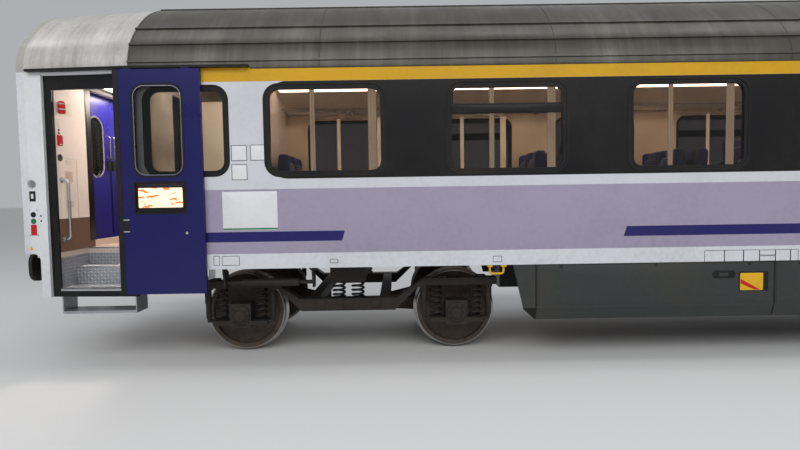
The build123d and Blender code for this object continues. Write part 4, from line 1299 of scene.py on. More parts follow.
@dataclass
class PillarControls:
    """Door buttons, speaker and plates on the white corner pillars, by their heights."""

    middle: float = 11.985
    speaker_z: float = 2.034
    switch_z: float = 1.900
    panel_z: float = 1.614
    panel: Pair = (0.105, 0.30)
    panel_form: Form = (-0.003, 0.003, 0.008)
    switch: Pair = (0.066, 0.11)
    switch_form: Form = (-0.002, 0.007, 0.006)
    key: Pair = (0.026, 0.052)
    key_form: Form = (0.004, 0.010, 0.004)
    screws: Pair = (0.042, 0.138)
    dark_z: float = 1.70
    green_z: float = 1.628
    alarm_z: float = 1.533
    alarm: Pair = (0.062, 0.115)
    alarm_form: Form = (0.0, 0.012, 0.008)
    dots: tuple[Pair, ...] = ((11.90, 1.685), (11.90, 1.63))
    sign: Pair = (12.03, 1.325)
    sign_radius: float = 0.032
    sign_levels: Pair = (-0.002, 0.0015)
    hole_rings: tuple[tuple[float, int], ...] = ((0.014, 6), (0.027, 10))
    hole_level: float = 0.003
    knob: Profile = ((-0.004, 0.030), (0.006, 0.030), (0.009, 0.026), (0.009, 0.010), (0.008, 0.001))
    grille: Profile = ((-0.004, 0.047), (0.005, 0.047), (0.007, 0.042), (0.003, 0.038), (0.003, 0.001))
    hole: Profile = ((-0.002, 0.0035), (0.0006, 0.0035), (0.0006, 0.0005))
    screw: Profile = ((0.0, 0.006), (0.005, 0.006), (0.006, 0.001))
    dot: Profile = ((-0.004, 0.009), (0.004, 0.009), (0.006, 0.005), (0.006, 0.001))

    def build(self) -> None:
        """Make the pieces by finish, each round part turned about the way out of the pillar."""
        white, dark, green, red, yellow, bright = Surface.several(6)
        x = self.middle
        rings = [circle(radius, count) for radius, count in self.hole_rings]
        holes = np.vstack([[[0.0, 0.0]], *rings]) + [x, self.speaker_z]
        screws = np.array([[-1, -1], [1, -1], [1, 1], [-1, 1]]) * self.screws + [x, self.panel_z]
        for side, end in EVERY_CORNER:
            patch = taper_patch(side, end)
            bright.turned(patch.put((x, self.speaker_z)), patch.out, self.grille)
            dark.turned(patch.put(holes, self.hole_level), patch.out, self.hole, 8)
            dark.plate(patch, (x, self.switch_z), self.switch, *self.switch_form)
            white.plate(patch, (x, self.switch_z), self.key, *self.key_form)
            white.plate(patch, (x, self.panel_z), self.panel, *self.panel_form)
            dark.turned(patch.put(screws), patch.out, self.screw, 10)
            dark.turned(patch.put((x, self.dark_z)), patch.out, self.knob)
            green.turned(patch.put((x, self.green_z)), patch.out, self.knob)
            red.plate(patch, (x, self.alarm_z), self.alarm, *self.alarm_form)
            dark.turned(patch.put(self.dots), patch.out, self.dot, 12)
            yellow.prism(patch, triangle(self.sign_radius, self.sign), *self.sign_levels)
        white.make("pillar_switch_bases", Finishes.WHITE, "grey_paint")
        dark.make("pillar_dark_buttons", Finishes.RUBBER, "frame_black")
        green.make("pillar_green_buttons", Finishes.GREEN, "lamp_red")
        red.make("pillar_red_boxes", Finishes.RED, "lamp_red")
        yellow.make("pillar_warning_signs", Finishes.YELLOW, "yellow_paint")
        bright.make("pillar_speakers", Finishes.BRIGHT, "bright_metal")


@dataclass
class Signs:
    """Blank plates, notice and box outlines on the near side: middles, widths and heights."""

    squares: tuple[Pair, ...] = ((-9.702, 2.328), (-9.499, 2.330), (-9.703, 2.123))
    square: Pair = (0.168, 0.168)
    square_form: Form = (-0.001, 0.0012, 0.004, 0.0004)
    notice: Box = (-9.603, 1.708, 0.59, 0.414)
    notice_form: Form = (-0.001, 0.0014, 0.004, 0.0004)
    notice_edge: Pair = (0.012, 0.016)
    edge_form: Form = (0.0, 0.0018, 0.002, 0.0004)
    border_corner: float = 0.004
    box_corner: float = 0.003
    border: Profile = ((0.0, 0.0), (0.0, 0.0016), (0.006, 0.0016), (0.006, 0.0))
    thin: Profile = ((0.0, -0.0005), (0.0, 0.0008), (0.005, 0.0008), (0.005, -0.0005))
    boxes: tuple[Box, ...] = (
        (-9.826, 1.170, 0.19, 0.104),
        (-9.98, 1.172, 0.067, 0.104),
        (-8.711, 1.150, 0.086, 0.045),
        (-6.938, 1.144, 0.097, 0.067),
        (-4.578, 1.137, 0.219, 0.128),
        (-4.365, 1.137, 0.207, 0.128),
        (-4.174, 1.137, 0.174, 0.128),
        (-4.000, 1.168, 0.174, 0.060),
        (-4.000, 1.104, 0.174, 0.060),
        (-3.831, 1.137, 0.164, 0.128),
        (-3.706, 1.137, 0.086, 0.128),
    )

    def build(self) -> None:
        """Make thin plates and outlines that lie on the wall."""
        patch = side_patch(Side.NEAR)
        plates, lines, green = Surface.several(3)
        for place in self.squares:
            plates.plate(patch, place, self.square, *self.square_form)
            lines.frame(patch, place, self.square, self.border_corner, self.border, 3)
        x, z, width, height = self.notice
        plates.plate(patch, (x, z), (width, height), *self.notice_form)
        rise, tall = self.notice_edge
        green.plate(patch, (x, z - height / 2 + rise), (width, tall), *self.edge_form)
        for x, z, width, height in self.boxes:
            lines.frame(patch, (x, z), (width, height), self.box_corner, self.thin, 2)
        plates.make("blank_plates", Finishes.WHITE, "grey_paint")
        lines.make("sign_outlines", Finishes.FRAME, "frame_black")
        green.make("notice_edge", Finishes.GREEN, "grey_paint")


@dataclass(frozen=True)
class Cushion:
    """One crowned shape of every seat, sized forward, sideways in seat widths and upward.

    Its place is measured from the foot of the seat's back. A pair has a twin on the other side.
    """

    part: str
    size: Triple
    place: Triple
    lean: float = 0.0
    power: float = 0.42
    pair: bool = False


@dataclass
class Seats:
    """Upholstered seats in facing pairs, which stand for the plain seat solids."""

    slack: float = 0.006
    fill: float = 0.7
    first_row: tuple[Pair, ...] = ((-1.05, 0.54), (0.53, 0.52), (1.06, 0.52))
    second_row: tuple[Pair, ...] = ((-1.10, 0.45), (-0.635, 0.45), (0.635, 0.45), (1.10, 0.45))
    cushions: tuple[Cushion, ...] = (
        Cushion("pads", (0.46, 0.92, 0.15), (0.385, 0.0, 0.385), -0.06),
        Cushion("pads", (0.13, 0.90, 0.66), (0.155, 0.0, 0.74), -0.09, 0.5),
        Cushion("pads", (0.12, 0.70, 0.20), (0.115, 0.0, 1.065), -0.09, 0.6),
        Cushion("pads", (0.17, 0.11, 0.30), (0.15, 0.41, 1.02), -0.09, 0.6, True),
        Cushion("pads", (0.16, 0.10, 0.50), (0.185, 0.42, 0.68), -0.09, 0.6, True),
        Cushion("arms", (0.40, 0.075, 0.045), (0.33, 0.475, 0.625), 0.0, 0.3, True),
        Cushion("arms", (0.05, 0.05, 0.24), (0.33, 0.475, 0.50), 0.0, 0.3, True),
        Cushion("shells", (0.05, 0.95, 0.84), (0.072, 0.0, 0.755), -0.075, 0.25),
        Cushion("shells", (0.44, 0.93, 0.06), (0.36, 0.0, 0.315), 0.0, 0.25),
        Cushion("shells", (0.10, 0.60, 0.30), (0.30, 0.0, 0.150), 0.0, 0.25),
        Cushion("shells", (0.34, 0.66, 0.03), (0.30, 0.0, 0.015), 0.0, 0.25),
    )

    def places(self, middles: Array, row: tuple[Pair, ...]) -> tuple[Array, Array, Array]:
        """Feet of the seats' backs, the ways that they face, and their widths.

        Args:
            middles: X of the bays.
            row: Y of the middle and width of each seat in a row across.

        Returns:
            Places, facings and widths of all the seats in the bays.
        """
        x, face, seat = np.meshgrid(middles, [-1.0, 1.0], np.arange(len(row)), indexing="ij")
        table = np.array(row)[seat.astype(int).ravel()]
        back = x.ravel() + face.ravel() * (BAY / 2 - self.slack)
        feet = np.stack([back, table[:, 0], np.full(len(back), FLOOR_Z)], -1)
        return feet, -face.ravel(), table[:, 1]

    @staticmethod
    def put(surface: Surface, seats: tuple[Array, Array, Array], cushion: Cushion, hand: int) -> None:
        """Add one cushion to every seat.

        Args:
            surface: The surface that takes the shapes.
            seats: Places, facings and widths of the seats.
            cushion: The cushion.
            hand: 1, or -1 for the twin on the other side.
        """
        feet, facing, width = seats
        shape = crowned(cushion.size, cushion.power)
        cos, sin = math.cos(cushion.lean), math.sin(cushion.lean)
        forward = shape[..., 0] * cos - shape[..., 2] * sin + cushion.place[0]
        upward = shape[..., 0] * sin + shape[..., 2] * cos + cushion.place[2]
        x = feet[:, 0, None, None] + facing[:, None, None] * forward
        y = feet[:, 1, None, None] + width[:, None, None] * (shape[..., 1] + hand * cushion.place[1])
        z = feet[:, 2, None, None] + upward
        surface.shells(np.stack(np.broadcast_arrays(x, y, z), -1))

    def build(self) -> None:
        """Make the pads of each class, and the shells, armrests and feet of all the seats."""
        shared = {"arms": Surface(), "shells": Surface()}
        half = BAYS // 2
        for name, middles, row, finish in (
            ("first_class", bay_middles()[:half], self.first_row, Finishes.SEAT_FIRST),
            ("second_class", bay_middles()[half:], self.second_row, Finishes.SEAT_SECOND),
        ):
            parts = {"pads": Surface(), **shared}
            seats = self.places(middles, row)
            for cushion in self.cushions:
                for hand in (-1, 1) if cushion.pair else (1,):
                    self.put(parts[cushion.part], seats, cushion, hand)
            piece = parts["pads"].make(f"{name}_pads", finish, "seat_fabric", angle=60.0)
            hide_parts(f"{name}_seats")
        shared["shells"].make("seat_shells", Finishes.CASE, "case_grey")
        shared["arms"].make("seat_armrests", Finishes.RUBBER, "rubber")


@dataclass
class Curtains:
    """Gathered curtains beside the windows: depth = a sin(2 pi k u), deeper towards the hem.

    Each strip is given by its distance from the window's middle, its width and its folds.
    """

    strips: tuple[tuple[float, float, int], ...] = ((-0.15, 0.055, 2), (0.5, 0.09, 3))
    low: float = 2.023
    high: float = 3.073
    depth: float = 0.010
    thick: float = 0.0012
    off_wall: float = 0.016
    fold_points: int = 12
    rows: int = 9
    rail_half: float = 0.6
    rail_radius: float = 0.006
    bracket: Triple = (0.02, 0.026, 0.018)
    rails: str = "curtain_rails"

    def strip(self, side: Side, offset: float, width: float, folds: int) -> tuple[Array, float]:
        """One strip of gathered cloth.

        Args:
            side: The side of the coach.
            offset: X of the strip's middle.
            width: Its gathered width.
            folds: Number of its folds.

        Returns:
            Its closed sections from the rail to the hem, and its flat width.
        """
        u = np.linspace(0.0, 1.0, folds * self.fold_points + 1)
        fall = np.linspace(0.0, 1.0, self.rows)[:, None]
        wave = self.depth * (0.7 + 0.3 * fall) * np.sin(2 * np.pi * folds * u)
        flat = float(np.hypot(np.diff(u * width), np.diff(wave.mean(0))).sum())
        across = np.concatenate([u, u[::-1]]) * width - width / 2
        level = np.concatenate([wave + self.thick / 2, wave[:, ::-1] - self.thick / 2], 1)
        y = side.value * (INNER_HALF - self.off_wall + level)
        z = self.high - fall * (self.high - self.low)
        return np.stack(np.broadcast_arrays(across + offset, y, z), -1), flat

    def build(self) -> None:
        """Make a piece for each side and the rails."""
        bars = Surface()
        shift = grid(bay_middles(), [0.0], [0.0])[:, None, None]
        for side in Side:
            cloth = Surface()
            for offset, width, folds in self.strips:
                sections, wide = self.strip(side, offset, width, folds)
                cloth.shells(shift + sections)
            name = f"curtains_{side.name.lower()}"
            piece = cloth.make(name, Finishes.CURTAIN, "curtain_cloth", angle=80.0)
            if side is Side.NEAR:
                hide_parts("curtains")
            y = side.value * (INNER_HALF - self.off_wall)
            for x in bay_middles():
                reach = self.rail_half
                path = straight((x - reach, y, self.high), (x + reach, y, self.high))
                bars.tube(path, self.rail_radius, 8)
                bars.block(path + [0.0, side.value * self.rail_radius, 0.0], self.bracket, 0.003)
        bars.make(self.rails, Finishes.BRIGHT, "bright_metal")


@dataclass
class Saloon:
    """Luggage racks of bars, light strips and table edges."""

    half: float = 9.75
    rack_z: float = 3.108
    rack_depth: Pair = (0.03, 0.37)
    rack_bars: int = 6
    rack_slope: float = 0.12
    bar_radius: float = 0.007
    edge_radius: float = 0.011
    bracket_run: Triple = (-9.7, 9.8, 0.975)
    arm: Triple = (0.022, 0.36, 0.012)
    foot: Triple = (0.05, 0.02, 0.07)
    strip: Triple = (9.6, 0.16, 0.02)
    strips: Rows = ((-4.88, 4.88), (-0.55, 0.55), (3.368,))
    entry_lamp: Triple = (0.5, 0.9, 0.02)
    entry_places: Rows = ((-11.4, 11.4), (0.0,), (3.238,))
    corridor_lamp: Triple = (0.9, 0.16, 0.02)
    corridor_places: Rows = ((-10.29, 10.29), (-0.5,), (3.378,))
    table: Pair = (0.62, 0.55)
    table_y: float = 1.0815
    table_edge: Profile = (
        (-0.006, 2.006), (-0.009, 2.023), (-0.006, 2.040), (0.004, 2.040), (0.004, 2.006),
    )

    def build(self) -> None:
        """Make the racks, which stand for the plain ones, the lights and the table edges."""
        racks, brackets, lamps, entry, edges = Surface.several(5)
        for side in Side:
            for step in np.linspace(*self.rack_depth, self.rack_bars):
                y = side.value * (INNER_HALF - step)
                z = self.rack_z + 0.02 + self.rack_slope * step
                radius = self.edge_radius if step == self.rack_depth[1] else self.bar_radius
                racks.tube(straight((-self.half, y, z), (self.half, y, z)), radius, 8)
            for inset, size in ((self.arm[1] / 2, self.arm), (0.012, self.foot)):
                y = side.value * (INNER_HALF - inset)
                places = grid(np.arange(*self.bracket_run), [y], [self.rack_z + 0.028])
                brackets.block(places, size, 0.003)
            patch = Patch((0.0, side.value * self.table_y, 0.0), X_AXIS, Y_AXIS, Z_AXIS)
            for x in bay_middles():
                edges.frame(patch, (x, 0.0), self.table, 0.02, self.table_edge, 4)
        lamps.block(grid(*self.strips), self.strip, 0.006)
        entry.block(grid(*self.entry_places), self.entry_lamp, 0.006)
        entry.block(grid(*self.corridor_places), self.corridor_lamp, 0.006)
        entry.make("vestibule_lights", Finishes.LAMP, "lining_cream")
        rack = racks.make("luggage_rack_bars", Finishes.BRIGHT, "bright_metal")
        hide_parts("luggage_racks")
        brackets.make("luggage_rack_brackets", Finishes.BRIGHT, "bright_metal")
        lamps.make("ceiling_lights", Finishes.LIGHT, "lining_cream")
        edges.make("table_edges", Finishes.RUBBER, "rubber")


@dataclass
class Gangway:
    """Window rings, panes and handles of the gangway doors, and the rubber tubes' folds."""

    leaf_x: float = 11.86
    half: float = 0.02
    window: Pair = (0.31, 0.75)
    window_corner: float = 0.1549
    window_y: float = 0.32
    window_z: float = 2.523
    grip_y: float = 0.055
    grip: Pair = (2.40, 2.68)
    grip_out: float = 0.035
    grip_bend: float = 0.02
    grip_radius: float = 0.008
    lock_z: float = 2.30
    lock: Pair = (0.07, 0.13)
    lock_form: Form = (-0.002, 0.018, 0.008, 0.003)
    seal: Box = (0.012, 2.0, 0.018, 1.2)
    seal_form: Form = (-0.002, 0.004, 0.004, 0.001)
    pane_lap: float = 0.002
    pane_half: float = 0.004
    pane_bevel: float = 0.0005
    ring: Profile = ((-0.022, -0.001), (-0.018, 0.004), (-0.004, 0.005), (0.004, 0.0), (0.004, -0.012))
    tube_x: float = 12.175
    tube_half: float = 0.78
    tube_z: Pair = (1.273, 3.408)
    tube_bend: float = 0.26
    tube_size: Triple = (0.142, 0.170, 0.065)
    swell: Pair = (0.05, 14.0)

    def build(self) -> None:
        """Make the pieces of each door leaf on its own body, then the tubes."""
        for side, end in EVERY_CORNER:
            self.leaf(side, end)
        self.tubes()

    def leaf(self, side: Side, end: End) -> None:
        """Make the pieces of one door leaf.

        Args:
            side: The side of the leaf.
            end: The end of the coach.
        """
        name = f"{end.letter}_{side.name.lower()}"
        body = f"gangway_door_{name}"
        rings, panes, handles, locks = Surface.several(4)
        middle = end.value * self.leaf_x
        place = (side.value * self.window_y, self.window_z)
        grip = side.value * self.grip_y
        low, high = self.grip
        for face in (-1, 1):
            patch = Patch((middle + face * self.half, 0.0, 0.0), Y_AXIS, Z_AXIS, (face, 0.0, 0.0))
            rings.frame(patch, place, self.window, self.window_corner, self.ring, 10)
            corners = [[grip, low], [grip, low], [grip, high], [grip, high]]
            handle = patch.put(corners, [0.0, self.grip_out, self.grip_out, 0.0])
            handles.tube(bent(handle, self.grip_bend), self.grip_radius, 10, Y_AXIS)
            locks.plate(patch, (grip, self.lock_z), self.lock, *self.lock_form)
            y, z, *size = self.seal
            locks.plate(patch, (side.value * y, z), size, *self.seal_form)
        patch = Patch((middle, 0.0, 0.0), Y_AXIS, Z_AXIS, X_AXIS)
        pane = (self.window[0] + self.pane_lap, self.window[1] + self.pane_lap)
        form = (-self.pane_half, self.pane_half, self.window_corner, self.pane_bevel)
        panes.plate(patch, place, pane, *form)
        rings.make(f"gangway_window_ring_{name}", Finishes.BRIGHT, "bright_metal", body)
        panes.make(f"gangway_window_pane_{name}", Finishes.GLASS, "glass", body)
        handles.make(f"gangway_handle_{name}", Finishes.BRIGHT, "bright_metal", body)
        locks.make(f"gangway_lock_{name}", Finishes.RUBBER, "frame_black", body)

    def tubes(self) -> None:
        """Rounded rubber tubes in place of the square ones: r = r0 (1 + a cos k s) along s."""
        rubber = Surface()
        low, high = self.tube_z
        bend = 14
        share, waves = self.swell
        for end in End:
            x, y = end.value * self.tube_x, self.tube_half
            corners = [[x, -y, low], [x, -y, high], [x, y, high], [x, y, low]]
            path = bent(corners, self.tube_bend, bend)
            path = np.vstack([
                np.linspace(path[0], path[1], 30)[:-1],
                path[1 : bend + 1],
                np.linspace(path[bend], path[bend + 1], 24)[1:-1],
                path[bend + 1 : -1],
                np.linspace(path[-2], path[-1], 30)[1:],
            ])
            along = np.insert(np.cumsum(np.linalg.norm(np.diff(path, axis=0), axis=1)), 0, 0.0)
            inward = np.cross(np.gradient(path, axis=0), X_AXIS)
            inward /= np.linalg.norm(inward, axis=1, keepdims=True)
            ring = rounded(*self.tube_size)
            around = ring[None, :, :1] * np.array(X_AXIS) + ring[None, :, 1:] * inward[:, None]
            rubber.shells(path[:, None] + (1 + share * np.cos(waves * along))[:, None, None] * around)
        piece = rubber.make("gangway_rubbers", Finishes.RUBBER, "rubber", angle=60.0)
        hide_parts("gangway_tubes")


@dataclass
class Steps:
    """Raised lozenges and round nosings of the four entrance stairs.

    Treads are given by their level and Y range, risers by their Y and height range, flanks by
    their Y range and lowest height, and nosings by their Y and height.
    """

    across: Pair = (10.945, 11.745)
    under_floor: float = 1.228
    spacing: float = 0.038
    margin: Pair = (0.022, 0.016)
    lozenge: Triple = (0.018, 0.0065, 0.002)
    treads: tuple[Triple, ...] = ((1.078, 0.7715, 1.0215), (0.878, 1.0215, 1.262))
    risers: tuple[Triple, ...] = ((0.7715, 1.078, 1.278), (1.0215, 0.878, 1.078))
    flanks: tuple[Triple, ...] = ((0.7815, 1.0215, 1.078), (1.0215, 1.25, 0.878))
    nosings: tuple[Pair, ...] = ((0.7715, 1.276), (1.0215, 1.076), (1.266, 0.876))

    def lozenges(self, surface: Surface, patch: Patch, across: Pair, rise: Pair) -> None:
        """Fill a rectangle with lozenges that lean left and right by turns.

        Args:
            surface: The surface that takes them.
            patch: The plate's face.
            across: Where the rectangle starts and stops along the patch.
            rise: Where it starts and stops up the patch.
        """
        first, last = self.margin
        u, v = np.meshgrid(
            *(np.arange(low + first, high - last, self.spacing) for low, high in (across, rise)),
            indexing="ij",
        )
        turn = ((np.indices(u.shape).sum(0) % 2) * 2 - 1).ravel() * np.pi / 4
        long, wide, tall = self.lozenge
        ring = circle(1.0, 6)
        shape = np.stack([ring * [long, wide], ring * [long * 0.6, wide * 0.5]])
        spin = np.stack([np.cos(turn), -np.sin(turn), np.sin(turn), np.cos(turn)], -1).reshape(-1, 2, 2)
        flat = np.einsum("bij,nmj->bnmi", spin, shape)
        flat += np.stack([u.ravel(), v.ravel()], -1)[:, None, None]
        surface.shells(patch.put(flat, np.array([-0.0005, tall])[None, :, None]))

    def build(self) -> None:
        """Make the lozenges and the nosings."""
        plates, nosings = Surface.several(2)
        start, stop = self.across
        for side, end in EVERY_CORNER:
            x, y = end.value, side.value
            for level, low, high in self.treads:
                tread = Patch((0.0, 0.0, level), (x, 0.0, 0.0), (0.0, y, 0.0), Z_AXIS)
                self.lozenges(plates, tread, self.across, (low, high))
            for face, low, high in self.risers:
                riser = Patch((0.0, y * face, 0.0), (x, 0.0, 0.0), Z_AXIS, (0.0, y, 0.0))
                self.lozenges(plates, riser, self.across, (low, high))
            for u, out in ((stop, -x), (start, x)):
                flank = Patch((x * u, 0.0, 0.0), (0.0, y, 0.0), Z_AXIS, (out, 0.0, 0.0))
                for low, high, foot in self.flanks:
                    self.lozenges(plates, flank, (low, high), (foot, self.under_floor))
            for face, level in self.nosings:
                path = straight((x * start, y * face, level), (x * stop, y * face, level))
                nosings.tube(path, 0.008, 10)
        plates.make("step_lozenges", Finishes.TREAD, "chequer_plate", angle=30.0)
        nosings.make("step_nosings", Finishes.BRIGHT, "bright_metal")


@dataclass
class Rails:
    """Round grab rails and lifting handles in place of the square ones."""

    bar: float = 0.016
    root: float = 11.74
    reach: float = 11.665
    flange: Profile = ((0.0, 0.034), (0.006, 0.034), (0.010, 0.028), (0.010, 0.004))
    lift: Triple = (6.94, 1.4015, 1.078)
    lift_half: float = 0.075
    lift_low: float = 0.980
    lift_foot: Triple = (0.06, 0.06, 0.024)

    def build(self) -> None:
        """Follow the middles of the plain bars."""
        grabs, lifts, feet = Surface.several(3)
        least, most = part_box("handrails")
        low, high = float(least[2]) + self.bar, float(most[2]) - self.bar
        inner_y = float(most[1]) - self.bar
        for side, end in EVERY_CORNER:
            y = side.value * inner_y
            root, out = end.value * self.root, end.value * self.reach
            points = np.array([[root, y, low], [out, y, low], [out, y, high], [root, y, high]])
            grabs.tube(bent(points, 0.055), self.bar, 14, Y_AXIS)
            grabs.turned(points[[0, 3]], (-end.value, 0.0, 0.0), self.flange, 16)
            x, y, top = self.lift
            x, y = end.value * x, side.value * y
            left, right, drop = x - self.lift_half, x + self.lift_half, self.lift_low
            points = np.array([[left, y, top], [left, y, drop], [right, y, drop], [right, y, top]])
            lifts.tube(bent(points, 0.035), 0.012, 12, Y_AXIS)
            feet.block(points[[0, 3]] - [0.0, 0.0, self.lift_foot[2] / 2], self.lift_foot)
        piece = grabs.make("grab_rails", Finishes.BRIGHT, "bright_metal")
        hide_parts("handrails")
        piece = lifts.make("lifting_rings", Finishes.YELLOW, "yellow_paint")
        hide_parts("lifting_handles")
        feet.make("lifting_ring_feet", Finishes.YELLOW, "yellow_paint")


@dataclass
class LiningFittings:
    """Fittings of the vestibule end linings: cupboard door, louvres, boxes and small signs.

    Boxes are given by the Y and height of their middles, and their widths and heights. The slot
    of the alarm is given by its share of the alarm's width, and its height.
    """

    face: float = 11.74
    cupboard: Box = (1.10, 1.985, 0.33, 0.68)
    cupboard_corner: float = 0.012
    vents: tuple[tuple[float, float, int], ...] = ((1.093, 2.117, 8), (1.096, 1.807, 5))
    slat: Triple = (0.13, 0.009, 0.0155)
    slat_form: Form = (-0.001, 0.006, 0.004)
    sign_form: Form = (-0.001, 0.002, 0.004, 0.0006)
    signs: tuple[Box, ...] = (
        (1.088, 2.277, 0.12, 0.05),
        (1.262, 1.838, 0.036, 0.37),
        (1.09, 2.875, 0.20, 0.13),
        (1.245, 2.702, 0.05, 0.10),
    )
    alarm: Box = (1.243, 2.512, 0.072, 0.117)
    alarm_form: Form = (-0.001, 0.022, 0.010)
    slot_drop: float = 0.045
    slot: Pair = (0.8, 0.012)
    slot_form: Form = (0.018, 0.024, 0.003)
    warning: Pair = (1.106, 1.72)
    warning_radius: float = 0.035
    warning_levels: Pair = (-0.001, 0.002)
    cylinder: Pair = (1.235, 2.805)
    cylinder_out: float = 0.041
    bands: Pair = (0.04, 0.10)
    clip_lift: float = 0.006
    clip: Pair = (0.03, 0.012)
    clip_form: Form = (-0.001, 0.006, 0.002)
    jamb: Box = (0.601, 0.12, 1.361, 3.178)
    portal_form: Form = (-0.001, 0.003, 0.001, 0.001)
    ceiling: float = 3.247
    beam_gap: float = 0.001
    spots: tuple[Pair, ...] = ((1.244, 2.627), (1.244, 2.594), (1.246, 2.322))
    edge: Profile = ((0.0, -0.001), (0.0, 0.004), (0.010, 0.004), (0.010, -0.001))
    disc: Profile = ((-0.001, 0.013), (0.006, 0.013), (0.008, 0.010), (0.008, 0.001))
    dial: Profile = ((-0.001, 0.040), (0.006, 0.040), (0.009, 0.035), (0.006, 0.030), (0.006, 0.001))
    bottle: Profile = (
        (0.0, 0.001), (0.0, 0.030), (0.012, 0.038), (0.12, 0.038), (0.138, 0.022), (0.142, 0.001),
    )
    band: Profile = ((0.0, 0.036), (0.0, 0.0405), (0.012, 0.0405), (0.012, 0.036))

    def build(self) -> None:
        """Make the fittings by finish on all four linings."""
        pale, slats, red, grey, bright, yellow, frames = Surface.several(7)
        near, broad, low, top = self.jamb
        for side, end in EVERY_CORNER:
            origin = (end.value * self.face, 0.0, 0.0)
            patch = Patch(origin, (0.0, side.value, 0.0), Z_AXIS, (-end.value, 0.0, 0.0))
            y, z, *size = self.cupboard
            pale.frame(patch, (y, z), size, self.cupboard_corner, self.edge, 3)
            for y, z, *size in self.signs:
                pale.plate(patch, (y, z), size, *self.sign_form)
            for y, z, count in self.vents:
                for rise in (np.arange(count) - (count - 1) / 2) * self.slat[2]:
                    slats.plate(patch, (y, z + rise), self.slat[:2], *self.slat_form)
            y, z, width, height = self.alarm
            red.plate(patch, (y, z), (width, height), *self.alarm_form)
            share, tall = self.slot
            slats.plate(patch, (y, z - self.slot_drop), (width * share, tall), *self.slot_form)
            post = (near + broad / 2, (low + top) / 2)
            frames.plate(patch, post, (broad, top - low), *self.portal_form)
            if side is Side.NEAR:
                beam = (2 * (near + broad), self.ceiling - top - self.beam_gap)
                frames.plate(patch, (0.0, (self.ceiling + top) / 2), beam, *self.portal_form)
            spots = patch.put(self.spots)
            grey.turned(spots[:2], patch.out, self.disc, 14)
            grey.turned(spots[2], patch.out, self.dial, 24)
            foot = patch.put(self.cylinder, self.cylinder_out)
            red.turned(foot, Z_AXIS, self.bottle, 20)
            for rise in self.bands:
                bright.turned(foot + [0.0, 0.0, rise], Z_AXIS, self.band, 20)
                clip = (self.cylinder[0], self.cylinder[1] + rise + self.clip_lift)
                bright.plate(patch, clip, self.clip, *self.clip_form)
            mark = triangle(self.warning_radius, self.warning)
            yellow.prism(patch, mark, *self.warning_levels)
        pale.make("lining_plates", Finishes.CEILING, "lining_cream")
        slats.make("lining_louvres", Finishes.FLOOR, "lining_cream")
        frames.make("gangway_portal_trims", Finishes.FRAME, "frame_black")
        red.make("lining_red_boxes", Finishes.RED, "lamp_red")
        grey.make("lining_dials", Finishes.CASE, "case_grey")
        bright.make("lining_clips", Finishes.BRIGHT, "bright_metal")
        yellow.make("lining_warning_signs", Finishes.YELLOW, "yellow_paint")


@dataclass(frozen=True)
class Coil:
    """A helical spring: its foot's height, radius, wire radius, height and turns."""

    foot: float
    radius: float
    wire: float
    height: float
    turns: float


